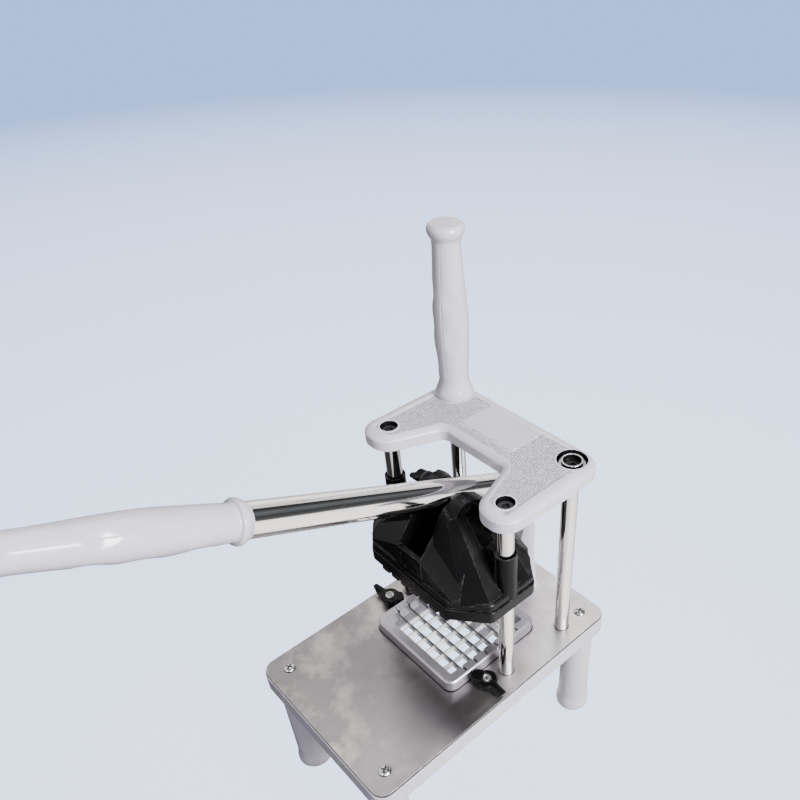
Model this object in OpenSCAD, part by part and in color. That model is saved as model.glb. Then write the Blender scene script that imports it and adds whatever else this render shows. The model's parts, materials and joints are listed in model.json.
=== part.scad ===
// Hand-lever french fry cutter for a worktop.
// Millimetres. Z = 0 is the worktop, +X is the right side and +Y the rear.
// X = 0, Y = 0 is the middle of the base plate. Shown at rest, with the lever raised.

/* [Base] */
// Width of the base plate
plate_w = 182; // [178:1:190]
// Length of the base plate, front to rear
plate_l = 280; // [270:1:300]
// Thickness of the base plate
plate_t = 3; // [2:0.5:4]
// Height of the plate's upper face above the worktop
plate_top = 147; // [120:1:170]
// Depth of the moulded frame under the plate
frame_h = 19; // [16:1:24]
// Leg axis from the middle, sideways
leg_x = 72; // [68:1:74]
// Leg axis from the middle, lengthways
leg_y = 121; // [115:1:123]
// Leg diameter at its top
leg_d = 29.5; // [26:0.5:32]
// Foot diameter
foot_d = 35; // [33:0.5:38]

/* [Rods and bracket] */
// Guide rod and rear post axes from the middle, sideways
rod_x = 70.5; // [69.5:0.5:71.5]
// Guide rod axis, lengthways
guide_y = 20.8; // [20:0.1:21]
// Rear post axis, lengthways
post_y = 95.7; // [95:0.1:97]
// Guide rod diameter
guide_d = 14; // [13:0.5:14.5]
// Rear post diameter
post_d = 14; // [13:0.5:14.5]
// Height of the bracket's lower face above the plate
bracket_z = 189.5; // [188:0.5:196]
// Thickness of the bracket
bracket_t = 13.5; // [12:0.5:15]

/* [Blades] */
// Side of the square blade frame
blade_frame_w = 110; // [109:0.5:110.5]
// Height of the blade frame
blade_frame_h = 12.6; // [12:0.1:13.5]
// Thickness of a blade
blade_t = 0.9; // [0.6:0.1:1]

/* [Lever] */
// Height of the lever's pivot above the plate
pivot_z = 169.7; // [169:0.1:171]
// Angle of the lever above level, rising to the front
lever_angle = 24.4; // [23.5:0.1:25]
// Diameter of the lever tube
lever_d = 25; // [24:0.5:25.5]
// Length of tube in front of the pivot
lever_front = 185; // [170:1:200]
// Length of tube behind the pivot
lever_rear = 66; // [60:1:66]
// Height of the fixed rear pin above the plate
fulcrum_z = 132.4; // [132:0.1:133]
// Place of the fixed rear pin, lengthways
fulcrum_y = 104; // [103.5:0.1:104.5]

/* [Hidden] */
$fn = 64;
// Smallest gap left between pieces so that their solids never overlap
gap = 0.02;
// Radial clearance of a shaft that turns or slides in its bore
running = 0.05;
// Overlap that makes a cut run clean through a face
over = 1;

// Base plate and frame
plate_corner = 12;
frame_lip = 1;
frame_wall = 4;
frame_top = plate_top - plate_t;
frame_bottom = frame_top - frame_h;
chute_w = 94;
chute_wall = 3;
rib_t = 3;
boss_h = 11;
rod_boss_r = 10;
spigot_r = 5;
spigot_h = 2.8;
rod_tap = 18;
washer_t = 1.5;
nut_h = 6;
foot_h = 14;
leg_low_r = 15.75;
screw_r = 3;
leg_screw_depth = 24;

// Bracket outline: arm tips round the guide rods, one crossbar over the rear posts
arm_tip_r = 16.6;
mouth_half = 36.6;
mouth_y = 53.2;
arm_inner_x = 57;
arm_outer_x = 90;
bracket_front_y = 1.2;
bracket_rear_x = 91.5;
bracket_rear_y = 113;
bevel_h = 3.6;
bevel_w = 6.2;
arm_tip_inner_r = 19.4;
field_x = 80;
field_y = 12;
patch_front = 69;
patch_l = 35;
patch_left = -32;
patch_w = 61;
bracket_top = bracket_z + bracket_t;
arm_hole_r = 7.75;
arm_hole_depth = 7;
socket_hole_r = 12.9;
socket_depth = 5;
socket_floor = 9;
field_depth = 0.5;
grip_flange_r = 17.2;

// Blades: six each way, a fry's width apart
fry_pitch = 13;
blade_count = 6;
cells = blade_count + 1;
opening_w = fry_pitch * cells;
blade_z = plate_top + 0.5;
across_top = plate_top + 9;
along_top = plate_top + 7.6;
half_lap = plate_top + 4;
seat_w = 102;
edge_h = 2.4;
slot_rise = 38;

// Wing knobs
knob_x = 70.5;
knob_y = -4;
knob_h = 11;
hub_r = 9.6;
insert_r = 4.3;
stud_r = 2.5;

// Carriage, measured from the plate's upper face and the guide rods' plane
rim_z = 92;
rim_h = 12.6;
band_z = 105.6;
band_h = 6.4;
band_inset = 1.5;
channel_half = 14.5;
channel_floor = 119;
ear_x = 25;
dome_r = 32;
dome_z = 143.3;
wall_top = 131;
front_wall = 4.2;
sleeve_r = 9.4;
sleeve_top = 151;
bush_r = 8.2;
arm_h = 36;
pivot_y = guide_y + 0.9;
pivot_r = 4;
bolt_head_r = 5.4;
pad_r = 7.3;
pad_drop = 1.9;
pad_floor = 157;
pad_fall = 12;
peg_w = 10.4;
peg_h = 10.5;
pusher_t = 8;

// Lever and its rear support
tube_wall = 1.5;
collar_lap = 5;
tail_t = 12;
tail_h = 24;
tail_end = 108;
slot_w = 11.6;
slot_near = 80.8;
slot_far = 96.5;
fulcrum_r = 4;
fork_half = 6.5;
fork_out = 15;
fork_head_r = 11;
fork_floor = 106;

// ---------- outlines and lofts ----------

function unit(v) = v / norm(v);
function left_of(v) = [-v[1], v[0]];
function turn(a, b, c) = sign((b - a)[0] * (c - b)[1] - (b - a)[1] * (c - b)[0]);
function before(list, i) = list[(i + len(list) - 1) % len(list)];
function after(list, i) = list[(i + 1) % len(list)];

// Corner i of outline p, given as an arc of radius r in k steps
function corner(p, i, r, k) =
    let (b = p[i], u = unit(before(p, i) - b), v = unit(after(p, i) - b),
         half = acos(u * v) / 2,
         centre = b + unit(u + v) * r / sin(half),
         start = b + u * r / tan(half) - centre,
         sweep = turn(before(p, i), b, after(p, i)) * (180 - 2 * half),
         first = atan2(start[1], start[0]))
    [for (j = [0:k]) centre + r * [cos(first + sweep * j / k), sin(first + sweep * j / k)]];

// Outline p with its edges moved inwards by d, and the corner radii that go with it
function inset(p, d) = [for (i = [0:len(p) - 1])
    let (m = left_of(unit(p[i] - before(p, i))), n = left_of(unit(after(p, i) - p[i])))
    p[i] + d * (m + n) / (1 + m * n)];
function inset_radius(p, i, r, d) =
    turn(before(p, i), p[i], after(p, i)) > 0 ? max(r - d, 0.3) : r + d;
function rounded(p, r, d = 0, k = 5) =
    let (q = inset(p, d))
    [for (i = [0:len(p) - 1]) each corner(q, i, inset_radius(p, i, r[i], d), k)];

function same(value, count) = [for (i = [1:count]) value];
function mirrored(p) = [for (i = [len(p) - 1:-1:0]) [-p[i][0], p[i][1]]];

// Heights and insets of a slab whose lower and upper edges are rounded
function edge_layers(h, low, high, n = 3) = concat(
    low > 0 ? [for (i = [0:n]) low * [1 - cos(90 * i / n), 1 - sin(90 * i / n)]] : [[0, 0]],
    high > 0 ? [for (i = [0:n]) [h - high * (1 - sin(90 * i / n)), high * (1 - cos(90 * i / n))]]
             : [[h, 0]]);

// Outline p lifted to height z
function lifted(p, z) = [for (q = p) [q[0], q[1], z]];

// One closed skin through rings of equal length. Each end is closed by strips between
// points i and n - 1 - i, so an outline may bend as long as its two halves face each other
module loft(rings) {
    n = len(rings[0]);
    m = len(rings);
    points = [for (ring = rings) each ring];
    sides = [for (k = [0:m - 2]) for (i = [0:n - 1])
        let (a = k * n + i, b = k * n + (i + 1) % n)
        each [[a, a + n, b + n], [a, b + n, b]]];
    last = (m - 1) * n;
    ends = [for (i = [0:floor(n / 2) - 1]) let (j = n - 1 - i)
        each concat(j - i > 1 ? [[i, i + 1, j], [last + j, last + i + 1, last + i]] : [],
            j - i > 2 ? [[i + 1, j - 1, j], [last + j, last + j - 1, last + i + 1]] : [])];
    polyhedron(points, concat(ends, sides), convexity = 8);
}

module slab(p, r, h, low, high, k = 5) {
    layers = edge_layers(h, low, high);
    loft([for (e = layers) lifted(rounded(p, r, e[1], k), e[0])]);
}

module rounded_rect(w, l, r) {
    square([w - 2 * r, l], center = true);
    square([w, l - 2 * r], center = true);
    for (x = [-1, 1], y = [-1, 1])
        translate([x * (w / 2 - r), y * (l / 2 - r)]) circle(r);
}

module at_legs() {
    for (x = [-leg_x, leg_x], y = [-leg_y, leg_y]) translate([x, y, 0]) children();
}

module at_rods() {
    for (x = [-rod_x, rod_x], y = [guide_y, post_y]) translate([x, y, 0]) children();
}

module along_x(x, y, z) {
    translate([x, y, z]) rotate([0, 90, 0]) children();
}

// ---------- base ----------

module base_plate() {
    color("silver")
    difference() {
        translate([0, 0, frame_top]) linear_extrude(plate_t) difference() {
            rounded_rect(plate_w, plate_l, plate_corner);
            translate([0, guide_y]) rounded_rect(chute_w, chute_w, 4);
        }
        translate([0, 0, frame_top - over]) {
            at_legs() cylinder(r = screw_r + 0.3, h = plate_t + 2 * over);
            at_rods() cylinder(r = spigot_r + gap, h = plate_t + 2 * over);
            for (x = [-knob_x, knob_x])
                translate([x, knob_y]) cylinder(r = stud_r + gap, h = plate_t + 2 * over);
            for (x = [-12, 12])
                translate([x, post_y]) cylinder(r = 2.6, h = plate_t + 2 * over);
        }
    }
}

module base_frame() {
    outer_w = plate_w + 2 * frame_lip;
    outer_l = plate_l + 2 * frame_lip;
    rib_reach = outer_w / 2 - 2;
    rib_z = frame_top - boss_h;
    color("gainsboro")
    difference() {
        union() {
            translate([0, 0, frame_bottom]) linear_extrude(frame_h) difference() {
                rounded_rect(outer_w, outer_l, plate_corner + frame_lip);
                rounded_rect(outer_w - 2 * frame_wall, outer_l - 2 * frame_wall,
                    plate_corner + frame_lip - frame_wall);
            }
            translate([0, guide_y, frame_bottom]) linear_extrude(frame_h)
                rounded_rect(chute_w + 2 * chute_wall, chute_w + 2 * chute_wall, 7);
            at_legs() translate([0, 0, frame_bottom]) cylinder(d = leg_d, h = frame_h);
            at_rods() translate([0, 0, rib_z]) cylinder(r = rod_boss_r, h = boss_h);
            for (x = [-knob_x, knob_x])
                translate([x, knob_y, rib_z]) cylinder(r = 7, h = boss_h);
            for (x = [-12, 12])
                translate([x, post_y, rib_z]) cylinder(r = 7, h = boss_h);
            translate([-rib_reach, post_y - rib_t / 2, rib_z])
                cube([2 * rib_reach, rib_t, boss_h]);
            for (x = [-1, 1], y = [knob_y, guide_y])
                translate([x * 68, y, rib_z + boss_h / 2])
                    cube([44, rib_t, boss_h], center = true);
        }
        translate([0, guide_y, frame_bottom - over]) linear_extrude(frame_h + 2 * over)
            rounded_rect(chute_w, chute_w, 4);
        translate([0, 0, frame_bottom - over]) {
            at_legs() cylinder(r = screw_r + 0.3, h = frame_h + 2 * over);
            at_rods() cylinder(r = spigot_r + gap, h = frame_h + 2 * over);
            for (x = [-knob_x, knob_x])
                translate([x, knob_y]) cylinder(r = stud_r + gap, h = frame_h + 2 * over);
            for (x = [-12, 12])
                translate([x, post_y]) cylinder(r = 2.6, h = frame_h + 2 * over);
        }
    }
}

// A round leg that widens to a foot with a rounded lower edge
module leg(x, y) {
    foot_r = foot_d / 2;
    round_r = 5.5;
    underside = [for (a = [0:15:90])
        [foot_r - round_r + round_r * sin(a), round_r - round_r * cos(a)]];
    flare = [for (t = [0:0.25:1])
        [foot_r + (leg_low_r - foot_r) * (1 - cos(180 * t)) / 2, 8 + foot_h * t]];
    color("gainsboro")
    difference() {
        translate([x, y, 0]) rotate_extrude()
            polygon(concat([[0, 0]], underside, flare,
                [[leg_d / 2, frame_bottom], [0, frame_bottom]]));
        translate([x, y, frame_bottom - leg_screw_depth - 3])
            cylinder(r = screw_r + gap, h = leg_screw_depth + 3 + over);
    }
}

module leg_front_left() { leg(-leg_x, -leg_y); }
module leg_front_right() { leg(leg_x, -leg_y); }
module leg_rear_left() { leg(-leg_x, leg_y); }
module leg_rear_right() { leg(leg_x, leg_y); }

// Pan head with a cross recess, its shank running down
module pan_screw(head_r, head_h, shank_r, shank_l) {
    cap = [for (a = [0:15:90]) [head_r * cos(a) * 0.45 + head_r * 0.55 * (1 - a / 90),
        head_h * (0.35 + 0.65 * sin(a))]];
    difference() {
        union() {
            rotate_extrude() polygon(concat([[0, 0], [head_r, 0]], cap));
            translate([0, 0, -shank_l]) cylinder(r = shank_r, h = shank_l + over / 2);
        }
        for (a = [0, 90]) rotate(a)
            translate([0, 0, head_h]) cube([head_r * 1.1, 1.3, head_h * 1.2], center = true);
    }
}

module leg_screws() {
    shank = plate_t + frame_h + leg_screw_depth;
    color("lightgray")
    at_legs() translate([0, 0, plate_top]) pan_screw(5, 2.8, screw_r, shank);
}

// ---------- rods, posts and bracket ----------

// A rod with a spigot through the base and a short spigot into the bracket
module rod(x, y, r) {
    low = frame_top - boss_h - washer_t - nut_h - 1;
    color("lightgray")
    difference() {
        translate([x, y, 0]) union() {
            translate([0, 0, plate_top]) cylinder(r = r, h = bracket_z);
            translate([0, 0, low]) cylinder(r = spigot_r, h = plate_top - low + over);
            translate([0, 0, plate_top + bracket_z - over]) cylinder(r = spigot_r, h = spigot_h + over);
        }
        translate([x, y, plate_top + bracket_z - rod_tap])
            cylinder(r = screw_r + gap, h = rod_tap + spigot_h + over);
    }
}

module guide_rod_left() { rod(-rod_x, guide_y, guide_d / 2); }
module guide_rod_right() { rod(rod_x, guide_y, guide_d / 2); }
module rear_post_left() { rod(-rod_x, post_y, post_d / 2); }
module rear_post_right() { rod(rod_x, post_y, post_d / 2); }

module rod_washers() {
    color("lightgray")
    at_rods() translate([0, 0, frame_top - boss_h - washer_t]) difference() {
        cylinder(r = 9.5, h = washer_t - gap);
        translate([0, 0, -over]) cylinder(r = spigot_r + gap, h = washer_t + 2 * over);
    }
}

module rod_nuts() {
    color("lightgray")
    at_rods() translate([0, 0, frame_top - boss_h - washer_t - nut_h]) difference() {
        cylinder(r = 9.2, h = nut_h - gap, $fn = 6);
        translate([0, 0, -over]) cylinder(r = spigot_r + gap, h = nut_h + 2 * over);
    }
}

// The outline starts and ends in the mouth's sides, so that its halves face each other
bracket_right = [[arm_outer_x, bracket_front_y], [bracket_rear_x, bracket_rear_y]];
mouth_right = [[mouth_half, mouth_y], [arm_inner_x, bracket_front_y]];
bracket_outline = concat(bracket_right, mirrored(bracket_right), mirrored(mouth_right), mouth_right);
bracket_radii = [arm_tip_r, 20, 20, arm_tip_r, arm_tip_inner_r, 9, 9, arm_tip_inner_r];

// Layers of the bracket: a small lower edge, a wall, then a wide sloping upper edge
bracket_layers = [[0, 1], [1, 0], [bracket_t - bevel_h, 0], [bracket_t - 0.66 * bevel_h, 0.8],
    [bracket_t - 0.3 * bevel_h, 2.6], [bracket_t - 0.08 * bevel_h, 4.6], [bracket_t, bevel_w]];

// The pebbled field, sunk a little round a bare raised patch and round the holes
module grain_field() {
    difference() {
        intersection() {
            polygon(rounded(bracket_outline, bracket_radii, bevel_w + 0.3, 8));
            translate([-field_x, field_y]) square([2 * field_x, bracket_rear_y - field_y - 9]);
        }
        for (x = [-rod_x, rod_x]) translate([x, guide_y]) circle(arm_hole_r + 1.6);
        translate([rod_x, post_y]) circle(socket_hole_r + 1.4);
        translate([-rod_x, post_y]) circle(grip_flange_r + 0.4);
        translate([patch_left, patch_front]) square([patch_w, patch_l]);
    }
}

module top_bracket() {
    color("gainsboro")
    translate([0, 0, plate_top + bracket_z]) difference() {
        loft([for (e = bracket_layers)
            lifted(rounded(bracket_outline, bracket_radii, e[1], 8), e[0])]);
        translate([0, 0, bracket_t - field_depth]) linear_extrude(2) grain_field();
        // Row of short notches in front of the patch
        for (x = [patch_left:3.4:patch_left + patch_w - 3])
            translate([x + 0.6, patch_front - 2.6, bracket_t - 2 * field_depth])
                cube([2, 1.6, 3]);
        for (x = [-rod_x, rod_x]) translate([x, guide_y, bracket_t - arm_hole_depth])
            cylinder(r = arm_hole_r, h = 20);
        translate([rod_x, post_y, bracket_t - socket_depth]) cylinder(r = socket_hole_r, h = 20);
        translate([rod_x, post_y, bracket_t - socket_floor]) cylinder(r = arm_hole_r, h = 20);
        translate([0, 0, -over]) at_rods() cylinder(r = spigot_r + gap, h = bracket_t + 2 * over);
    }
}

// Socket-head screws that hold the bracket down on three of the four rods
module cap_screw(head_r, head_h, shank_r, shank_l) {
    difference() {
        union() {
            cylinder(r = head_r, h = head_h);
            translate([0, 0, -shank_l]) cylinder(r = shank_r, h = shank_l + over);
        }
        translate([0, 0, head_h - head_h * 0.6]) cylinder(r = head_r * 0.55, h = head_h, $fn = 6);
    }
}

module rod_cap_screws() {
    arm_z = plate_top + bracket_top - arm_hole_depth;
    color("dimgray")
    for (p = [[-rod_x, guide_y, arm_z], [rod_x, guide_y, arm_z],
              [rod_x, post_y, plate_top + bracket_top - socket_floor]])
        translate(p) cap_screw(6.4, 3.6, screw_r, 16);
}

// Plain steel ring in the free handle socket
module handle_socket() {
    color("silver")
    translate([rod_x, post_y, plate_top + bracket_top - socket_depth]) difference() {
        union() {
            cylinder(r = 9, h = socket_depth - 0.6);
            cylinder(r = 11, h = 1.2);
        }
        translate([0, 0, -over]) cylinder(r = 7.6, h = socket_depth + 2 * over);
    }
}

// ---------- grips ----------

// Radius of the grip moulding against the height from its base
grip_body = [[17, 13], [28, 13.7], [42, 14.4], [61, 15.2], [74, 15.1], [88, 14.5],
    [104, 13.4], [120, 12.4], [134, 11.8], [139, 11.95]];
grip_cap = [[141, 12.5], [143, 13.6], [145, 14.6], [147.2, 15.1], [149, 14.9],
    [150.6, 14.1], [151.7, 13.1], [152.2, 12.3], [152.5, 8]];
handle_foot = [[0, 16.5], [0.6, 17], [2, grip_flange_r], [4, 17], [6.5, 16.2], [9, 15.1],
    [11.5, 14.2], [14, 13.4]];
collar_nose = [[0, 12.7], [0.6, 13.1], [3.4, 13.3], [4.3, 13.6], [6.6, 14.7], [8.8, 15.5],
    [10.8, 15.8], [12.4, 15.6], [13.2, 14.9], [13.7, 13.4]];

function bump(t) = abs(t) < 1 ? pow(cos(90 * t), 2) : 0;
function away(a, b) = abs(((a - b) % 360 + 540) % 360 - 180);

// Hollows for three fingers on one side and two shallow thumb ovals on the other
function finger(h, a, side) = 2.4 * bump(away(a, side) / 72)
    * (bump((h - 35) / 14) + bump((h - 69) / 14) + bump((h - 96) / 13));
function thumb(h, a, side) = 0.7 * (bump((h - 93) / 9) * bump(away(a, side + 130) / 30)
    + bump((h - 60) / 14) * bump(away(a, side + 130) / 30));

module grip(foot, side) {
    body = [for (h = [17:3:134]) [h, lookup(h, grip_body)]];
    stations = concat(foot, body, [[139, 11.95]], grip_cap);
    steps = 32;
    loft([for (s = stations) lifted([for (i = [0:steps - 1]) let (a = 360 * i / steps)
        (s[1] - finger(s[0], a, side) - thumb(s[0], a, side)) * [cos(a), sin(a)]], s[0])]);
}

module upright_handle() {
    color("gainsboro")
    translate([-rod_x, post_y, plate_top + bracket_top]) difference() {
        grip(handle_foot, 198);
        translate([0, 0, -over]) cylinder(r = 4 + gap, h = 42 + over);
    }
}

module handle_stud() {
    low = plate_top + bracket_z + spigot_h + gap;
    color("lightgray")
    translate([-rod_x, post_y, 0]) {
        translate([0, 0, low]) cylinder(r = 4, h = plate_top + bracket_top + 40 - low);
        translate([0, 0, low - 18]) cylinder(r = screw_r, h = 18 + over);
    }
}

// ---------- blades ----------

function blade_places() = [for (i = [0:blade_count - 1])
    (i - (blade_count - 1) / 2) * fry_pitch];

module blade_frame() {
    half = blade_frame_w / 2;
    square_outline = [[-half, -half], [half, -half], [half, half], [-half, half]];
    seat_cut = seat_w - opening_w + gap;
    color("lightgray")
    translate([0, guide_y, plate_top]) difference() {
        slab(square_outline, same(9, 4), blade_frame_h, 0.8, 2.2, 6);
        translate([0, 0, -over]) linear_extrude(20) rounded_rect(opening_w, opening_w, 1.5);
        // Narrow sloping slots in the side rims, and the slits that seat the blades
        for (at = blade_places(), side = [-1, 1]) {
            translate([side * opening_w / 2, at, blade_frame_h + 0.6])
                rotate([0, side * slot_rise, 0]) cube([15, 1.9, 7.6], center = true);
            translate([side * opening_w / 2, at, -over + (across_top - plate_top + over) / 2])
                cube([seat_cut, blade_t + 0.1, across_top - plate_top + over], center = true);
            translate([at, side * opening_w / 2, -over + (along_top - plate_top + over) / 2])
                cube([blade_t + 0.1, seat_cut, along_top - plate_top + over], center = true);
        }
    }
}

// A blade on edge along X, ground to a sharp upper edge
module blade(upper) {
    flat = upper - edge_h;
    translate([-seat_w / 2, -blade_t / 2, blade_z]) cube([seat_w, blade_t, flat - blade_z]);
    rotate([90, 0, 90]) translate([0, 0, -seat_w / 2]) linear_extrude(seat_w)
        polygon([[-blade_t / 2, flat - 0.01], [blade_t / 2, flat - 0.01],
            [0.1, upper], [-0.1, upper]]);
}

module blades_across() {
    slit = blade_t + 2 * gap;
    color("silver")
    difference() {
        for (y = blade_places()) translate([0, guide_y + y, 0]) blade(across_top);
        for (x = blade_places())
            translate([x - slit / 2, guide_y - opening_w / 2, blade_z - over])
                cube([slit, opening_w, half_lap - blade_z + over + gap]);
    }
}

module blades_along() {
    slit = blade_t + 2 * gap;
    color("silver")
    difference() {
        for (x = blade_places()) translate([x, guide_y, 0]) rotate(90) blade(along_top);
        for (y = blade_places())
            translate([-opening_w / 2, guide_y + y - slit / 2, half_lap - gap])
                cube([opening_w, slit, 20]);
    }
}

// ---------- wing knobs ----------

// Moulded wing knob standing on z = 0: a flared hub with one long wing and one short lobe
module wing_knob(reach, lobe) {
    hub = [[insert_r, 0.5], [7.2, 0.5], [7.7, 2.5], [8.2, 6], [hub_r, 8.2],
        [hub_r, knob_h - 1.1], [hub_r - 0.7, knob_h - 0.2], [insert_r, knob_h]];
    wing = [[5, -3.4], [reach, -2.6], [reach, 2.8], [5, 3.6]];
    color("dimgray")
    difference() {
        union() {
            rotate_extrude() polygon(hub);
            intersection() {
                translate([0, 0, 1.4]) slab(wing, [1, 2.4, 2.4, 1], knob_h - 1.2, 0.8, 1.6, 4);
                translate([0, 0, -over]) cylinder(r1 = reach - 7, r2 = reach + 1, h = 14);
            }
            rotate(205) hull() {
                translate([2, 0, 2]) cylinder(r = 5.5, h = knob_h - 2.4);
                translate([lobe - 5.9, 0, 3]) cylinder(r = 5.9, h = knob_h - 1.6, $fn = 40);
            }
        }
        translate([0, 0, -over]) cylinder(r = insert_r, h = 20);
    }
}

// Steel ring moulded into the knob
module wing_insert(bore) {
    color("silver")
    difference() {
        translate([0, 0, 0.5]) union() {
            cylinder(r = insert_r - gap, h = knob_h - 0.9);
            translate([0, 0, knob_h - 0.9]) cylinder(r1 = insert_r - gap, r2 = insert_r - 0.5, h = 0.6);
        }
        translate([0, 0, -over]) cylinder(r = bore + running, h = 20);
    }
}

module clamp_stud(x) {
    color("silver")
    translate([x, knob_y, 0]) {
        translate([0, 0, frame_top - boss_h - 1])
            cylinder(r = stud_r, h = plate_t + boss_h + 1 + knob_h - 0.4);
        translate([0, 0, plate_top + knob_h - 0.5]) cylinder(r1 = stud_r, r2 = 1.6, h = 0.8);
    }
}

module clamp_stud_left() { clamp_stud(-knob_x); }
module clamp_stud_right() { clamp_stud(knob_x); }
module knob_left() { translate([-knob_x, knob_y, plate_top]) rotate(185) wing_knob(23, 14.6); }
module knob_right() { translate([knob_x, knob_y, plate_top]) wing_knob(23, 14.6); }
module knob_insert_left() { translate([-knob_x, knob_y, plate_top]) wing_insert(stud_r); }
module knob_insert_right() { translate([knob_x, knob_y, plate_top]) wing_insert(stud_r); }

// ---------- rear support of the lever ----------

// Cast post with a forked head: its side view is cut out of a wedge seen from behind
module fulcrum_stand() {
    e = [fulcrum_y, fulcrum_z];
    side_view = [[80, 0], [113, 0], [114.5, 6], [e[0] + fork_head_r - 0.3, e[1]],
        [e[0] - fork_head_r + 0.6, e[1] - 4], [97, 118], [99.4, 104], [99.6, 91],
        [95, 76], [89, 50], [84, 20], [81, 6]];
    rear_view = [[-20, 0], [20, 0], [20, 5], [16.4, 22], [fork_out, 60], [fork_out, 160],
        [-fork_out, 160], [-fork_out, 60], [-16.4, 22], [-20, 5]];
    color("gainsboro")
    translate([0, 0, plate_top]) difference() {
        intersection() {
            along_x(-30, 0, 0) rotate(90) linear_extrude(60) union() {
                polygon(rounded(side_view, [1, 1, 6, 1, 3, 10, 8, 8, 10, 20, 12, 2], 0, 4));
                translate(e) circle(fork_head_r);
            }
            translate([0, 130, 0]) rotate([90, 0, 0]) linear_extrude(70)
                polygon(rounded(rear_view, [1, 1, 2, 20, 20, 1, 1, 20, 20, 2], 0, 4));
        }
        translate([-fork_half, 60, fork_floor]) cube([2 * fork_half, 80, 60]);
        along_x(-fork_half, 106, fork_floor) cylinder(r = fork_half, h = 2 * fork_half);
        along_x(-40, e[0], e[1]) cylinder(r = fulcrum_r + gap, h = 80);
        for (x = [-12, 12]) translate([x, post_y, -over]) cylinder(r = 2.5 + gap, h = 17);
    }
}

module fulcrum_pin() {
    color("silver")
    along_x(-fork_out - 3, fulcrum_y, plate_top + fulcrum_z)
        difference() {
            cylinder(r = fulcrum_r, h = 2 * fork_out + 6);
            for (z = [0.9, 2 * fork_out + 4.1]) translate([0, 0, z]) difference() {
                cylinder(r = 6, h = 1);
                cylinder(r = 3.1, h = 1);
            }
        }
}

// Open spring clips in the grooves at both ends of the pin
module pin_clips() {
    color("lightgray")
    for (x = [-fork_out - 3 + 0.95, fork_out + 3 - 1.85])
        along_x(x, fulcrum_y, plate_top + fulcrum_z) difference() {
            cylinder(r = 6.2, h = 0.9 - 0.05);
            translate([0, 0, -over]) cylinder(r = 3.1 + gap, h = 3);
            translate([-12, -1.8, -over]) cube([12, 3.6, 3]);
        }
}

module stand_screws() {
    color("lightgray")
    for (x = [-12, 12]) translate([x, post_y, frame_top - boss_h]) rotate([180, 0, 0])
        pan_screw(5, 2.6, 2.5, boss_h + plate_t + 14);
}

// ---------- carriage ----------

// Outlines start beside the middle of the rear, so that their two halves face each other
rim_right = [[50, -47.9], [80, -24.8], [80, 24.8], [50, 47.9]];
rim_outline = concat(rim_right, mirrored(rim_right));
foot_right = [[15.2, -46.6], [60, -39.8], [77, -23], [77, 23], [60, 39.8], [15.2, 46.6]];
head_right = [[15.2, -16], [20.2, -17.4], [25.6, -14], [25.6, 14], [20.2, 17.4], [15.2, 16]];
pyramid_z = 110;
pyramid_top = 176;
apron_corner = [16, -44.2];
apron_right = [[apron_corner[0] - 2, -44.2], [53, -44.2], [57.5, -39.5], [50, -25], [14, -25]];
screw_spread = 26;

module in_carriage() {
    translate([0, guide_y, plate_top]) children();
}

// Straight-sided wedge between a lower and an upper four-cornered outline
module wedge(low, high, z0, z1) {
    loft([lifted(low, z0), lifted(high, z1)]);
}

function box_ring(x0, y0, x1, y1) = [[x0, y0], [x1, y0], [x1, y1], [x0, y1]];

// Everything above a shallow arch across the ears
module above_dome() {
    along_x(-60, pivot_y - guide_y, dome_z) linear_extrude(120) difference() {
        translate([-60, -50]) square([40, 100]);
        circle(dome_r, $fn = 96);
    }
}

// Sloping front apron on one side: its upper face falls away from the middle wall
module apron() {
    function fall(p) = wall_top - 0.475 * (p[0] - apron_corner[0])
        + 1.124 * (p[1] - apron_corner[1]);
    loft([lifted(apron_right, 108), [for (p = apron_right) [p[0], p[1], fall(p)]]]);
}

module carriage_outside() {
    translate([0, 0, rim_z]) slab(rim_outline, same(8, 8), rim_h, 1.6, 1, 4);
    translate([0, 0, rim_z + rim_h - 2]) linear_extrude(5)
        polygon(rounded(rim_outline, same(8, 8), 2.2, 4));
    translate([0, 0, band_z]) slab(inset(rim_outline, band_inset), same(6.5, 8), band_h, 0.6, 2.4, 4);
    difference() {
        loft([lifted(concat(foot_right, mirrored(foot_right)), pyramid_z),
            lifted(concat(head_right, mirrored(head_right)), pyramid_top)]);
        above_dome();
    }
    for (side = [0, 1]) mirror([side, 0, 0]) {
        apron();
        mirror([0, 1, 0]) apron();
        translate([rod_x, 0, rim_z + 1]) cylinder(r = sleeve_r, h = sleeve_top - rim_z - 1);
        translate([46, -2, 112]) cube([24, 4, arm_h]);
    }
    wedge(box_ring(-17, -45.4, 17, -25), box_ring(-15.8, -44.4, 15.8, -25), 108, wall_top);
    wedge(box_ring(-17, 25, 17, 45.4), box_ring(-16, 25, 16, 44.6), 108, channel_floor);
}

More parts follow.
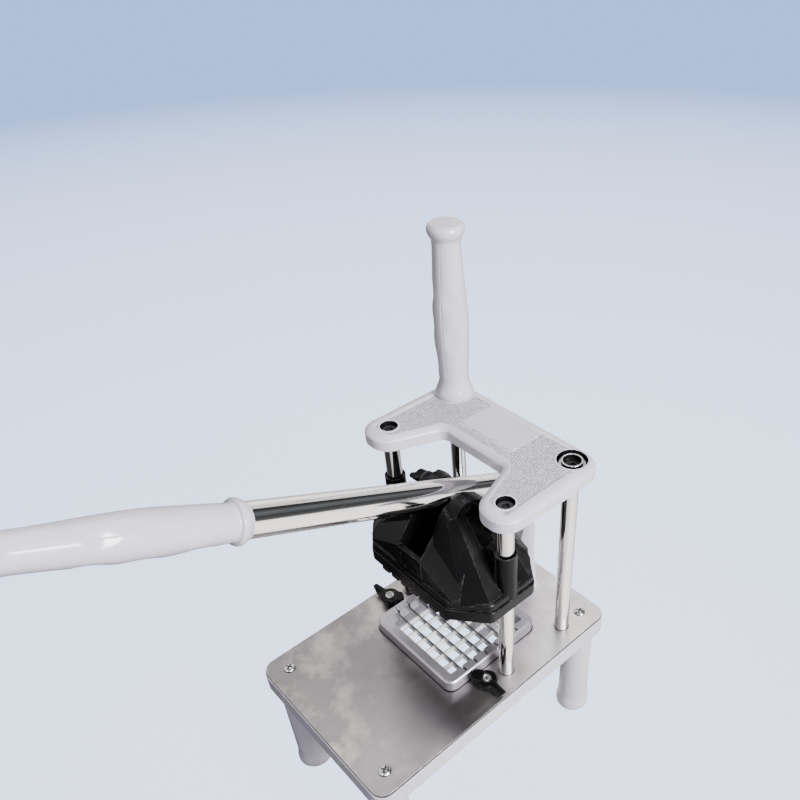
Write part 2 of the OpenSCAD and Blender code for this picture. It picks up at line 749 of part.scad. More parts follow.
module carriage_hollows() {
    y = pivot_y - guide_y;
    half = (cells * fry_pitch - 0.4) / 2;
    channel_front = -44.4 + front_wall;
    // Channel for the lever, behind a thin front wall
    translate([-channel_half, channel_front, channel_floor]) cube([2 * channel_half, 90, 80]);
    translate([-channel_half, -60, wall_top]) cube([2 * channel_half, 60, 80]);
    // Sunk panel in the front wall
    translate([-11, -48, 114.5]) cube([22, 48 - 43.4, 12.5]);
    // Flat bolt pad on the right and a round pocket for the wing nut on the left
    along_x(ear_x, y, pivot_z - pad_drop) cylinder(r = pad_r, h = 40);
    translate([0, y + pad_r, 0]) rotate([90, 0, 0]) linear_extrude(2 * pad_r)
        polygon([[ear_x, pivot_z - pad_drop], [ear_x, pad_floor], [2 * ear_x, pad_floor - pad_fall],
            [3 * ear_x, pad_floor - pad_fall], [3 * ear_x, pivot_z - pad_drop]]);
    along_x(-ear_x - 40, y, pivot_z) cylinder(r = 15, h = 40);
    // Pivot bore with its counterbore
    along_x(-60, y, pivot_z) cylinder(r = pivot_r + gap, h = 120);
    along_x(ear_x - 4.6, y, pivot_z) cylinder(r = bolt_head_r + 0.3, h = 10);
    // Guide bores, seat of the pusher block and the hollows above it
    for (x = [-rod_x, rod_x]) translate([x, 0, rim_z - over]) {
        cylinder(r = bush_r + gap, h = sleeve_top - rim_z + 2 * over);
        translate([0, 0, sleeve_top - rim_z - 1]) cylinder(r = bush_r + 0.4, h = 4);
    }
    translate([-half, -half, rim_z - over]) cube([2 * half, 2 * half, pusher_t + over + gap]);
    for (s = [-1, 1])
        wedge(box_ring(s * 43 - 14, -30, s * 43 + 14, 30), box_ring(s * 33 - 4, -16, s * 33 + 4, 16),
            99, 146);
    translate([-11, -34, 99]) cube([22, 68, channel_floor - 99 - 5]);
    for (x = [-screw_spread, screw_spread], at = [-screw_spread, screw_spread])
        translate([x, at, 90]) cylinder(r = 2 + gap, h = 22);
}

module carriage_body() {
    color("dimgray")
    in_carriage() difference() {
        carriage_outside();
        carriage_hollows();
    }
}

module guide_bush(x) {
    color("slategray")
    in_carriage() translate([x, 0, rim_z]) difference() {
        cylinder(r = bush_r, h = sleeve_top - rim_z - 2.2);
        translate([0, 0, -over]) cylinder(r = guide_d / 2 + running, h = 80);
    }
}

module guide_bush_left() { guide_bush(-rod_x); }
module guide_bush_right() { guide_bush(rod_x); }

// Plate with one square peg over each opening between the blades
module pusher_block() {
    half = (cells * fry_pitch - 0.8) / 2;
    peg_z = rim_z - peg_h;
    color("dimgray")
    in_carriage() difference() {
        union() {
            translate([-half, -half, rim_z]) cube([2 * half, 2 * half, pusher_t - gap]);
            for (i = [0:cells - 1], j = [0:cells - 1])
                translate([(i - blade_count / 2) * fry_pitch, (j - blade_count / 2) * fry_pitch,
                    peg_z + (peg_h + over) / 2])
                    cube([peg_w, peg_w, peg_h + over], center = true);
        }
        for (x = [-screw_spread, screw_spread], y = [-screw_spread, screw_spread])
            translate([x, y, 0]) {
                translate([0, 0, peg_z - over]) cylinder(r = 3.6, h = peg_h + over);
                cylinder(r = 2.1, h = 120);
            }
    }
}

module pusher_screws() {
    color("lightgray")
    in_carriage() for (x = [-screw_spread, screw_spread], y = [-screw_spread, screw_spread])
        translate([x, y, rim_z - gap]) rotate([180, 0, 0]) pan_screw(3.5, 2, 2, 18);
}

// ---------- pivot ----------

module pivot_bolt() {
    color("dimgray")
    along_x(ear_x - 4.5, pivot_y, plate_top + pivot_z) difference() {
        union() {
            cylinder(r = bolt_head_r, h = 4);
            translate([0, 0, -57]) cylinder(r = pivot_r, h = 58);
        }
        translate([0, 0, 1.6]) cylinder(r = 3, h = 4, $fn = 6);
    }
}

module pivot_washer() {
    color("lightgray")
    along_x(-ear_x - 1.5, pivot_y, plate_top + pivot_z) difference() {
        cylinder(r = 8, h = 1.5 - gap);
        translate([0, 0, -over]) cylinder(r = pivot_r + gap, h = 4);
    }
}

module at_wing_nut() {
    along_x(-ear_x - 1.5, pivot_y, plate_top + pivot_z) rotate([180, 0, 0]) rotate(-66) children();
}

module wing_nut() {
    color("dimgray")
    at_wing_nut() difference() {
        union() {
            translate([0, 0, 0.5]) cylinder(r1 = 7, r2 = 6, h = 8.4);
            for (a = [0, 180]) rotate(a) hull() {
                translate([3, 0, 1.5]) cylinder(r = 3, h = 7);
                translate([8, 0, 2]) cylinder(r = 2.3, h = 8.4, $fn = 32);
            }
        }
        translate([0, 0, -over]) cylinder(r = 5, h = 20);
    }
}

module wing_nut_insert() {
    color("silver")
    at_wing_nut() difference() {
        translate([0, 0, 0.5]) cylinder(r = 5 - gap, h = 8.6);
        translate([0, 0, -over]) cylinder(r = pivot_r + running, h = 20);
    }
}

// ---------- lever ----------

// The lever's own frame: its pivot at the origin, its grip along -Y
module in_lever() {
    translate([0, pivot_y, plate_top + pivot_z]) rotate([-lever_angle, 0, 0]) children();
}

module lever_tube() {
    inner_r = lever_d / 2 - tube_wall;
    color("silver")
    in_lever() difference() {
        translate([0, lever_rear, 0]) rotate([90, 0, 0])
            cylinder(d = lever_d, h = lever_rear + lever_front);
        translate([0, lever_rear + over, 0]) rotate([90, 0, 0])
            cylinder(r = inner_r, h = lever_rear + lever_front + 2 * over);
        along_x(-30, 0, 0) cylinder(r = 6 + gap, h = 60);
        for (y = [36, 54]) translate([0, y, -20]) cylinder(r = 2.5 + gap, h = 40);
    }
}

// Spacer bush across the tube, which turns on the pivot bolt
module lever_bush() {
    color("slategray")
    in_lever() along_x(-channel_half + 0.3, 0, 0) difference() {
        cylinder(r = 6, h = 2 * channel_half - 0.6);
        translate([0, 0, -over]) cylinder(r = pivot_r + running, h = 40);
    }
}

module lever_grip() {
    base = lever_front - collar_lap;
    color("gainsboro")
    in_lever() rotate([90, 0, 0]) difference() {
        union() {
            translate([0, 0, base]) grip(collar_nose, 270);
            translate([0, 0, lever_front - 34])
                cylinder(r = lever_d / 2 - tube_wall - gap, h = 36);
        }
        translate([0, 0, base - over]) difference() {
            cylinder(d = lever_d + 2 * gap, h = collar_lap + over + gap);
            cylinder(r = lever_d / 2 - tube_wall - gap, h = collar_lap + 2);
        }
    }
}

// Solid plug in the tube's rear end, flattened to a slotted tongue behind it
module lever_tail() {
    round_r = tail_h / 2;
    color("lightgray")
    in_lever() difference() {
        union() {
            translate([0, lever_rear + over, 0]) rotate([90, 0, 0])
                cylinder(r = lever_d / 2 - tube_wall - gap, h = 40);
            translate([-tail_t / 2, lever_rear + gap, -round_r])
                cube([tail_t, tail_end - lever_rear - round_r, tail_h]);
            along_x(-tail_t / 2, tail_end - round_r, 0) cylinder(r = round_r, h = tail_t);
        }
        translate([-10, slot_near, -slot_w / 2]) cube([20, slot_far - slot_near, slot_w]);
        for (y = [slot_near, slot_far]) along_x(-10, y, 0) cylinder(d = slot_w, h = 20);
        for (y = [36, 54]) translate([0, y, -20]) cylinder(r = 2.5 + gap, h = 40);
    }
}

module tail_pins() {
    color("lightgray")
    in_lever() for (y = [36, 54]) translate([0, y, -lever_d / 2 - 0.3])
        cylinder(r = 2.5, h = lever_d + 0.6);
}

base_plate();
base_frame();
leg_front_left();
leg_front_right();
leg_rear_left();
leg_rear_right();
leg_screws();
guide_rod_left();
guide_rod_right();
rear_post_left();
rear_post_right();
rod_washers();
rod_nuts();
top_bracket();
rod_cap_screws();
handle_socket();
upright_handle();
handle_stud();
blade_frame();
blades_across();
blades_along();
clamp_stud_left();
clamp_stud_right();
knob_left();
knob_right();
knob_insert_left();
knob_insert_right();
fulcrum_stand();
fulcrum_pin();
pin_clips();
stand_screws();
carriage_body();
guide_bush_left();
guide_bush_right();
pusher_block();
pusher_screws();
pivot_bolt();
pivot_washer();
wing_nut();
wing_nut_insert();
lever_tube();
lever_grip();
lever_tail();
lever_bush();
tail_pins();
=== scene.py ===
import json
import math

import bmesh
import bpy
from mathutils import Matrix, Vector


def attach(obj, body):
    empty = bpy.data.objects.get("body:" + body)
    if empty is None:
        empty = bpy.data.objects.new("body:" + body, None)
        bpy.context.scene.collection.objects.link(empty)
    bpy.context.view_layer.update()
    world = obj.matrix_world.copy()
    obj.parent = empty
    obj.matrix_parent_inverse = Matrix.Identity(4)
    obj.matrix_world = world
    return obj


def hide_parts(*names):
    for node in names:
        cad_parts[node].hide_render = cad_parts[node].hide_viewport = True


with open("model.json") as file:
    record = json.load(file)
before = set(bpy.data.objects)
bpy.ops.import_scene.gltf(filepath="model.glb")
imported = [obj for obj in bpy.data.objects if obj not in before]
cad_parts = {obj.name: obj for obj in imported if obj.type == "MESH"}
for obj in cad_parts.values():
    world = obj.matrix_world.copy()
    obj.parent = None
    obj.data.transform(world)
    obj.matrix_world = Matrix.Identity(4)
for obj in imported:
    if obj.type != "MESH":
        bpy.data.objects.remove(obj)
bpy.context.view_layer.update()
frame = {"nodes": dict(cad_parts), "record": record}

MM = 0.001
record = frame["record"]
body_of = {node: body for body, nodes in record["behaviour"]["bodies"].items() for node in nodes}

# Places and sizes of the cutter, in millimetres
PLATE_TOP = 147.0
GUIDE_Y = 20.8
POST_Y = 95.7
ROD_X = 70.5
ROD_R = 7.0
LEG_X = 72.0
LEG_Y = 121.0
SCREW_HEAD_R = 5.0
KNOB_Y = -4.0
BRACKET_Z = PLATE_TOP + 189.5
BRACKET_TOP = BRACKET_Z + 13.5
PIVOT = Vector((0.0, 21.7, PLATE_TOP + 169.7))
LEVER_ANGLE = 24.4
FRY_PITCH = 13.0
BLADES = 6
BLADE_FRAME_HALF = 55.0
ARM_HOLE_R = 8.3
SOCKET_R = 13.2
PUSHER_SCREW = 26.0
PUSHER_FACE = 92.0
PEG_L = 10.5
PEG_HALF = 5.2
PEG_BORE_R = 3.6
TUBE_R = 12.5
TUBE_BORE_R = 11.0
TUBE_FRONT = 185.0
TUBE_REAR = 66.0


def linked(name, data):
    """A new object in the scene."""
    obj = bpy.data.objects.new(name, data)
    bpy.context.scene.collection.objects.link(obj)
    return obj


# ---------- camera ----------

def make_camera():
    """A camera in front of the right front corner, looking down at the cutter."""
    azimuth = math.radians(46.2)
    elevation = math.radians(40.44)
    roll = math.radians(-0.74)
    place = Vector((0.3674, -0.2695, 0.7064))
    away = Vector((math.sin(azimuth) * math.cos(elevation),
                   -math.cos(azimuth) * math.cos(elevation),
                   math.sin(elevation)))
    turned = away.to_track_quat("Z", "Y").to_matrix().to_4x4()
    data = bpy.data.cameras.new("camera")
    data.sensor_width = 36.0
    data.lens = 33.118
    data.shift_x = -0.125
    data.shift_y = 0.125
    data.clip_start = 0.01
    camera = linked("camera", data)
    camera.matrix_world = Matrix.Translation(place) @ turned @ Matrix.Rotation(roll, 4, "Z")
    bpy.context.scene.camera = camera


# ---------- node trees for the finishes ----------

class Tree:
    """A node tree with short ways to add a node and to join sockets."""

    def __init__(self, tree):
        self.tree = tree

    def node(self, kind, inputs=None, **settings):
        made = self.tree.nodes.new(kind)
        for name, value in settings.items():
            setattr(made, name, value)
        for name, value in (inputs or {}).items():
            socket = made.inputs[name]
            if isinstance(value, bpy.types.NodeSocket):
                self.tree.links.new(value, socket)
            else:
                socket.default_value = value
        return made

    def join(self, source, target):
        self.tree.links.new(source, target)

    def maths(self, operation, first, second=0.5, third=0.5):
        return self.node("ShaderNodeMath", {0: first, 1: second, 2: third},
                         operation=operation).outputs[0]

    def noise(self, vector, scale, detail=3.0, roughness=0.5):
        return self.node("ShaderNodeTexNoise", {"Vector": vector, "Scale": scale,
                         "Detail": detail, "Roughness": roughness}).outputs["Fac"]

    def range(self, value, low, high, to_low=0.0, to_high=1.0):
        return self.node("ShaderNodeMapRange", {"Value": value, "From Min": low,
                         "From Max": high, "To Min": to_low, "To Max": to_high}).outputs["Result"]


def new_group(name, inputs, outputs, kind="ShaderNodeTree"):
    """An empty node group with its sockets, and what its input and output nodes hold."""
    tree = bpy.data.node_groups.new(name, kind)
    for label, kind, value in inputs:
        socket = tree.interface.new_socket(label, in_out="INPUT", socket_type=kind)
        if value is not None:
            socket.default_value = value
    for label, kind in outputs:
        tree.interface.new_socket(label, in_out="OUTPUT", socket_type=kind)
    build = Tree(tree)
    return build, build.node("NodeGroupInput").outputs, build.node("NodeGroupOutput").inputs


FLOAT, VECTOR = "NodeSocketFloat", "NodeSocketVector"


def make_groups():
    """Effects that several finishes share."""
    # Rubbed edges and painted edge highlight: where the surface turns sharply, broken up by a noise
    t, i, o = new_group("edge_wear", [("Vector", VECTOR, None), ("Radius", FLOAT, 0.0006),
                                      ("Breakup", FLOAT, 300.0)], [("Mask", FLOAT)])
    soft = t.node("ShaderNodeBevel", {"Radius": i["Radius"]}, samples=4)
    flat = t.node("ShaderNodeNewGeometry")
    facing = t.node("ShaderNodeVectorMath", {0: soft.outputs["Normal"], 1: flat.outputs["Normal"]},
                    operation="DOT_PRODUCT").outputs["Value"]
    edge = t.range(facing, 0.995, 0.90)
    broken = t.range(t.noise(i["Vector"], i["Breakup"], 4.0, 0.6), 0.38, 0.66)
    t.join(t.maths("MULTIPLY", edge, broken), o["Mask"])

    # Moulded or cast grain: a fine height, and a slow drift of shade
    t, i, o = new_group("moulded_grain", [("Vector", VECTOR, None), ("Fine", FLOAT, 2500.0),
                                          ("Drift", FLOAT, 40.0)],
                        [("Height", FLOAT), ("Shade", FLOAT)])
    fine = t.noise(i["Vector"], i["Fine"], 2.0, 0.6)
    slow = t.noise(i["Vector"], i["Drift"], 4.0, 0.55)
    t.join(fine, o["Height"])
    t.join(t.range(slow, 0.3, 0.7), o["Shade"])

    # Brushing: long streaks along one axis, as a height and a shade
    t, i, o = new_group("brushed_streaks", [("Vector", VECTOR, None),
                                            ("Stretch", VECTOR, (1.0, 0.02, 1.0)),
                                            ("Scale", FLOAT, 2200.0)],
                        [("Height", FLOAT), ("Shade", FLOAT)])
    pulled = t.node("ShaderNodeVectorMath", {0: i["Vector"], 1: i["Stretch"]},
                    operation="MULTIPLY").outputs["Vector"]
    fine = t.noise(pulled, i["Scale"], 2.0, 0.65)
    wide = t.noise(pulled, t.maths("MULTIPLY", i["Scale"], 0.12), 3.0, 0.6)
    t.join(fine, o["Height"])
    both = t.maths("ADD", t.maths("MULTIPLY", fine, 0.55), t.maths("MULTIPLY", wide, 0.45))
    t.join(t.range(both, 0.36, 0.64), o["Shade"])

    # Handling: cloudy smudges that dull a bright surface here and there
    t, i, o = new_group("handling_marks", [("Vector", VECTOR, None), ("Size", FLOAT, 28.0)],
                        [("Mask", FLOAT)])
    cloud = t.noise(i["Vector"], i["Size"], 5.0, 0.62)
    t.join(t.range(cloud, 0.42, 0.68), o["Mask"])

    # Short hair scratches from use
    t, i, o = new_group("hair_scratches", [("Vector", VECTOR, None), ("Scale", FLOAT, 90.0)],
                        [("Mask", FLOAT)])
    swirl = t.node("ShaderNodeTexNoise", {"Vector": i["Vector"], "Scale": 20.0, "Detail": 1.0})
    bent = t.node("ShaderNodeVectorMath", {0: swirl.outputs["Color"], 1: (0.02, 0.02, 0.02)},
                  operation="MULTIPLY").outputs["Vector"]
    moved = t.node("ShaderNodeVectorMath", {0: i["Vector"], 1: bent}, operation="ADD")
    lines = t.node("ShaderNodeTexVoronoi", {"Vector": moved.outputs["Vector"], "Scale": i["Scale"]},
                   feature="DISTANCE_TO_EDGE").outputs["Distance"]
    thin = t.range(lines, 0.012, 0.0)
    patch = t.range(t.noise(i["Vector"], t.maths("MULTIPLY", i["Scale"], 0.6), 2.0), 0.52, 0.62)
    t.join(t.maths("MULTIPLY", thin, patch), o["Mask"])

    # Pebbles of a textured casting: rounded bumps of uneven size
    t, i, o = new_group("pebble_grain", [("Vector", VECTOR, None), ("Scale", FLOAT, 800.0)],
                        [("Height", FLOAT), ("Hollow", FLOAT)])
    cells = t.node("ShaderNodeTexVoronoi", {"Vector": i["Vector"], "Scale": i["Scale"],
                   "Smoothness": 0.2, "Randomness": 0.22}, feature="SMOOTH_F1")
    small = t.noise(i["Vector"], t.maths("MULTIPLY", i["Scale"], 2.2), 2.0)
    dome = t.range(cells.outputs["Distance"], 0.75, 0.1)
    t.join(t.maths("ADD", dome, t.maths("MULTIPLY", small, 0.15)), o["Height"])
    t.join(t.range(cells.outputs["Distance"], 0.36, 0.72), o["Hollow"])


class Finish(Tree):
    """A material with its shader, Object coordinates and helpers for the shared effects."""

    def __init__(self, name, **constants):
        self.material = bpy.data.materials.new(name)
        self.material.use_nodes = True
        super().__init__(self.material.node_tree)
        self.shader = self.tree.nodes["Principled BSDF"]
        self.place = self.node("ShaderNodeTexCoord").outputs["Object"]
        for label, value in constants.items():
            self.shader.inputs[label.replace("_", " ")].default_value = value

    def effect(self, group, **inputs):
        made = self.node("ShaderNodeGroup", node_tree=bpy.data.node_groups[group])
        self.join(self.place, made.inputs["Vector"])
        for label, value in inputs.items():
            made.inputs[label].default_value = value
        return made.outputs

    def mix(self, factor, first, second):
        made = self.node("ShaderNodeMix", data_type="RGBA")
        for socket, value in ((made.inputs[0], factor), (made.inputs[6], first),
                              (made.inputs[7], second)):
            if isinstance(value, bpy.types.NodeSocket):
                self.join(value, socket)
            else:
                socket.default_value = value if socket is made.inputs[0] else (*value[:3], 1.0)
        return made.outputs[2]

    def colour(self, value):
        self.join(value, self.shader.inputs["Base Color"])

    def rough(self, value):
        self.join(value, self.shader.inputs["Roughness"])

    def bump(self, height, distance, strength=1.0, under=None):
        made = self.node("ShaderNodeBump", {"Height": height, "Distance": distance,
                                            "Strength": strength})
        if under is not None:
            self.join(under, made.inputs["Normal"])
        self.join(made.outputs["Normal"], self.shader.inputs["Normal"])
        return made.outputs["Normal"]


def plastic_finish(name, colour, rubbed_and_lit_edge, roughness, grain=2200.0, depth=0.00003, edge_share=0.35,
                   shine=0.5):
    """Moulded plastic: fine spark texture, slow drift of shade, edges rubbed a little and lightened
    as painted highlight.
    """
    f = Finish(name, Specular_IOR_Level=shine)
    grain_out = f.effect("moulded_grain", Fine=grain, Drift=32.0)
    marks = f.effect("handling_marks", Size=24.0)["Mask"]
    edge = f.effect("edge_wear", Radius=0.0005, Breakup=260.0)["Mask"]
    drift = tuple(c * 0.93 for c in colour)
    body = f.mix(grain_out["Shade"], colour, drift)
    # Lighter edges: rubbed, and a painted highlight along the arrises
    f.colour(f.mix(f.maths("MULTIPLY", edge, edge_share), body, rubbed_and_lit_edge))
    f.rough(f.maths("ADD", f.range(marks, 0.0, 1.0, roughness, roughness + 0.10),
                    f.maths("MULTIPLY", grain_out["Height"], 0.06)))
    f.bump(grain_out["Height"], depth, 0.6)
    return f.material


def bright_finish(name, colour, roughness, stretch, scale=1600.0, depth=0.000004, metallic=1.0):
    """Polished or plated metal with faint polishing lines, smudges and hair scratches."""
    f = Finish(name, Metallic=metallic)
    lines = f.effect("brushed_streaks", Stretch=stretch, Scale=scale)
    marks = f.effect("handling_marks", Size=30.0)["Mask"]
    hair = f.effect("hair_scratches", Scale=75.0)["Mask"]
    dull = tuple(c * 0.86 for c in colour)
    f.colour(f.mix(f.maths("MULTIPLY", marks, 0.5), colour, dull))
    base = f.range(lines["Shade"], 0.0, 1.0, roughness, roughness * 1.5)
    smudged = f.maths("ADD", base, f.maths("MULTIPLY", marks, roughness * 0.5))
    f.rough(f.maths("ADD", smudged, f.maths("MULTIPLY", hair, 0.15)))
    f.bump(lines["Height"], depth, 0.5)
    return f.material


def plate_finish():
    """Brushed stainless sheet with cloudy handling marks, scratches, painted contact shade round
    its fittings, and painted reflection and shade across it.
    """
    f = Finish("brushed_plate_steel", Metallic=1.0)
    lines = f.effect("brushed_streaks", Stretch=(1.0, 0.03, 1.0), Scale=2200.0)
    marks = f.effect("handling_marks", Size=16.0)["Mask"]
    cloud = f.noise(f.place, 15.0, 5.0, 0.62)
    warm = f.noise(f.place, 24.0, 4.0, 0.6)
    hair = f.effect("hair_scratches", Scale=42.0)["Mask"]
    edge = f.effect("edge_wear", Radius=0.0005, Breakup=200.0)["Mask"]
    spot = f.node("ShaderNodeSeparateXYZ", {0: f.place}).outputs
    steel = f.mix(lines["Shade"], (0.34, 0.325, 0.33), (0.42, 0.40, 0.405))
    slope = f.maths("MULTIPLY_ADD", spot["X"], 0.8, spot["Y"])
    # Painted reflection: the sheet made lighter towards the rear and the right
    painted_rear_sheen = f.mix(f.range(slope, -0.01, 0.16, 0.0, 0.95), steel, (0.90, 0.88, 0.895))
    tinted = f.mix(f.range(warm, 0.42, 0.66, 0.0, 0.55), painted_rear_sheen, (0.44, 0.385, 0.36))
    clouded = f.mix(f.range(cloud, 0.40, 0.64, 0.0, 0.6), tinted, (0.25, 0.23, 0.24))
    # Painted shade: the sheet made darker towards the front and the left, for the dark reflection
    # there
    painted_front_shade = f.mix(f.range(slope, 0.0, -0.11, 0.0, 0.62), clouded, (0.15, 0.14, 0.145))
    wiped = f.mix(f.range(warm, 0.50, 0.66, 0.0, 0.6), painted_front_shade, (0.60, 0.55, 0.535))
    # Painted reflection of the black carriage: the sheet darker in front of the blade frame, most
    # of all on its right
    nearby = f.maths("MULTIPLY", f.range(spot["Y"], -0.012, -0.045),
                     f.range(spot["Y"], -0.135, -0.055))
    sideways = f.range(f.maths("MULTIPLY_ADD", cloud, 0.05, spot["X"]), -0.06, 0.07, 0.40, 0.95)
    painted_carriage_reflection = f.mix(f.maths("MULTIPLY", nearby, sideways), wiped, (0.13, 0.12, 0.13))

    def ring(across, along, out):
        """A mask close outside a circle round points mirrored about the middle of the plate."""
        side = f.maths("SUBTRACT", f.maths("ABSOLUTE", spot["X"]), across)
        reach = f.node("ShaderNodeCombineXYZ", {"X": side, "Y": along}).outputs[0]
        away = f.node("ShaderNodeVectorMath", {0: reach}, operation="LENGTH").outputs["Value"]
        return f.range(away, out + 0.0009, out + 0.0002)

    def behind(y):
        return f.maths("SUBTRACT", spot["Y"], y)

    # Painted contact shade where the blade frame, the rods and the screws meet the plate
    corner = 0.008
    half = BLADE_FRAME_HALF * MM - corner
    across = f.maths("SUBTRACT", f.maths("ABSOLUTE", spot["X"]), half)
    along = f.maths("SUBTRACT", f.maths("ABSOLUTE", behind(GUIDE_Y * MM)), half)
    outside = f.node("ShaderNodeCombineXYZ", {"X": f.maths("MAXIMUM", across, 0.0),
                                              "Y": f.maths("MAXIMUM", along, 0.0)})
    away = f.node("ShaderNodeVectorMath", {0: outside.outputs[0]}, operation="LENGTH")
    contact_shade = f.range(away.outputs["Value"], corner + 0.0014, corner + 0.0002)
    from_screws = f.maths("SUBTRACT", f.maths("ABSOLUTE", spot["Y"]), LEG_Y * MM)
    for mask in (ring(ROD_X * MM, behind(GUIDE_Y * MM), ROD_R * MM),
                 ring(ROD_X * MM, behind(POST_Y * MM), ROD_R * MM),
                 ring(LEG_X * MM, from_screws, SCREW_HEAD_R * MM)):
        contact_shade = f.maths("MAXIMUM", contact_shade, mask)
    contact_shaded = f.mix(contact_shade, painted_carriage_reflection, (0.02, 0.02, 0.022))
    # Lighter edges: rubbed, and a painted highlight
    f.colour(f.mix(f.maths("MULTIPLY", edge, 0.8), contact_shaded, (0.86, 0.85, 0.84)))
    base = f.range(lines["Shade"], 0.0, 1.0, 0.28, 0.40)
    smudged = f.maths("ADD", base, f.maths("MULTIPLY", marks, 0.07))
    f.rough(f.maths("ADD", smudged, f.maths("MULTIPLY", hair, 0.12)))
    scratched = f.bump(hair, 0.00001, -0.4)
    f.bump(lines["Height"], 0.000012, 0.7, scratched)
    return f.material


def casting_finish(name, pebbled):
    """Light grey coating on a casting: pebbled on the field with painted shade in the hollows,
    orange-peel smooth elsewhere, and lighter rubbed edges with a painted highlight.
    """
    f = Finish(name, Coat_Weight=0.2, Coat_Roughness=0.2)
    grain = f.effect("moulded_grain", Fine=900.0, Drift=26.0)
    edge = f.effect("edge_wear", Radius=0.0006, Breakup=240.0)["Mask"]
    grey = (0.49, 0.465, 0.535)
    body = f.mix(grain["Shade"], grey, (0.44, 0.42, 0.485))
    if pebbled:
        pebbles = f.effect("pebble_grain", Scale=540.0)
        # Painted shade: the hollows between the pebbles coloured darker
        body = f.mix(f.maths("MULTIPLY", pebbles["Hollow"], 0.9), (0.58, 0.555, 0.63),
                     (0.13, 0.125, 0.145))
        f.bump(pebbles["Height"], 0.0009, 1.0)
        f.rough(f.range(pebbles["Hollow"], 0.0, 1.0, 0.30, 0.55))
    else:
        f.bump(grain["Height"], 0.00004, 0.5)
        f.rough(f.range(grain["Height"], 0.3, 0.7, 0.34, 0.42))
    # Lighter edges: rubbed, and a painted highlight
    f.colour(f.mix(f.maths("MULTIPLY", edge, 0.8), body, (0.88, 0.87, 0.91)))
    return f.material


def blade_alloy_finish():
    """Satin cast alloy of the blade frame, with a fine tumbled texture and lighter rubbed edges
    with a painted highlight.
    """
    f = Finish("satin_blade_alloy", Metallic=0.75)
    grain = f.effect("moulded_grain", Fine=1500.0, Drift=45.0)
    marks = f.effect("handling_marks", Size=34.0)["Mask"]
    edge = f.effect("edge_wear", Radius=0.0006, Breakup=320.0)["Mask"]
    body = f.mix(grain["Shade"], (0.36, 0.345, 0.385), (0.29, 0.28, 0.315))
    f.colour(f.mix(f.maths("MULTIPLY", edge, 0.7), body, (0.76, 0.75, 0.79)))
    f.rough(f.range(marks, 0.0, 1.0, 0.30, 0.40))
    f.bump(grain["Height"], 0.00003, 0.6)
    return f.material


def blade_steel_finish(name, band_from):
    """Polished blade steel with a honed band along its upper edge, painted darker to stand for the
    dark reflection there.
    """
    f = Finish(name, Metallic=0.7)
    lines = f.effect("brushed_streaks", Stretch=(1.0, 1.0, 0.03), Scale=1500.0)
    edge = f.effect("edge_wear", Radius=0.0003, Breakup=500.0)["Mask"]
    height = f.node("ShaderNodeSeparateXYZ", {0: f.place}).outputs["Z"]
    start = PLATE_TOP + band_from
    painted_honed_band = f.range(height, (start - 0.15) * MM, (start + 0.15) * MM)
    polished = f.mix(lines["Shade"], (0.80, 0.79, 0.80), (0.88, 0.87, 0.88))
    # Painted shade: the honed band made dark for the dark reflection on the blades
    body = f.mix(painted_honed_band, polished, (0.20, 0.195, 0.21))
    # Lighter edges: rubbed, and a painted highlight
    f.colour(f.mix(f.maths("MULTIPLY", edge, 0.7), body, (0.88, 0.88, 0.88)))
    f.rough(f.range(painted_honed_band, 0.0, 1.0, 0.42, 0.36))
    f.bump(lines["Height"], 0.000004, 0.5)
    return f.material


def make_finishes():
    """One detailed finish for each kind of surface, by the record's slot."""
    make_groups()
    turned, even = (1.0, 1.0, 0.02), (1.0, 1.0, 1.0)
    return {
        "brushed_plate": plate_finish(),
        "grey_moulding": plastic_finish("satin_grey_moulding", (0.47, 0.445, 0.515),
                                        (0.72, 0.70, 0.76), 0.15, depth=0.000010),
        # The plate's edge faces made nearly black: painted shade
        "edge_painted_shade": plastic_finish("plate_edge_painted_shade", (0.035, 0.033, 0.036), (0.2, 0.2, 0.2), 0.4,
                                   shine=0.2),
        "bright_rod": bright_finish("polished_chrome", (0.88, 0.865, 0.855), 0.05, turned),
        "grey_casting": casting_finish("coated_casting", False),
        "pebbled_casting": casting_finish("pebbled_casting", True),
        "blade_alloy": blade_alloy_finish(),
        # The blades across get a taller painted dark band than the blades along, to match their
        # darker reflection
        "blade_steel": blade_steel_finish("blade_steel_painted_band", 5.4),
        "blade_steel_along": blade_steel_finish("blade_steel_painted_band_along", 6.6),
        # The lighter edges of the black moulding are a painted highlight along its arrises
        "black_moulding": plastic_finish("satin_black_moulding", (0.0032, 0.0032, 0.0036),
                                         (0.14, 0.14, 0.15), 0.20, 1800.0, 0.00002, 0.9, 0.11),
        "black_steel": bright_finish("black_oxide_steel", (0.02, 0.02, 0.023), 0.30, even, 900.0,
                                     0.00001, 0.6),
        "zinc": bright_finish("bright_zinc_plate", (0.52, 0.515, 0.53), 0.20, even, 900.0),
        "bush_nylon": plastic_finish("dark_nylon", (0.02, 0.02, 0.023), (0.08, 0.08, 0.085), 0.36),
    }


# ---------- mesh helpers ----------

def mesh_from(bm, name, recalculate=True):
    """The bmesh as a mesh in metres, with merged points and outward faces."""
    bmesh.ops.remove_doubles(bm, verts=bm.verts, dist=1e-4)
    if recalculate:
        bmesh.ops.recalc_face_normals(bm, faces=bm.faces)
    bmesh.ops.scale(bm, vec=(MM, MM, MM), verts=bm.verts)
    mesh = bpy.data.meshes.new(name)
    bm.to_mesh(mesh)
    bm.free()
    return mesh


def smooth(mesh, angle=35.0):
    """Smooth shading that keeps edges sharper than the angle."""
    mesh.shade_smooth()
    mesh.set_sharp_from_angle(angle=math.radians(angle))


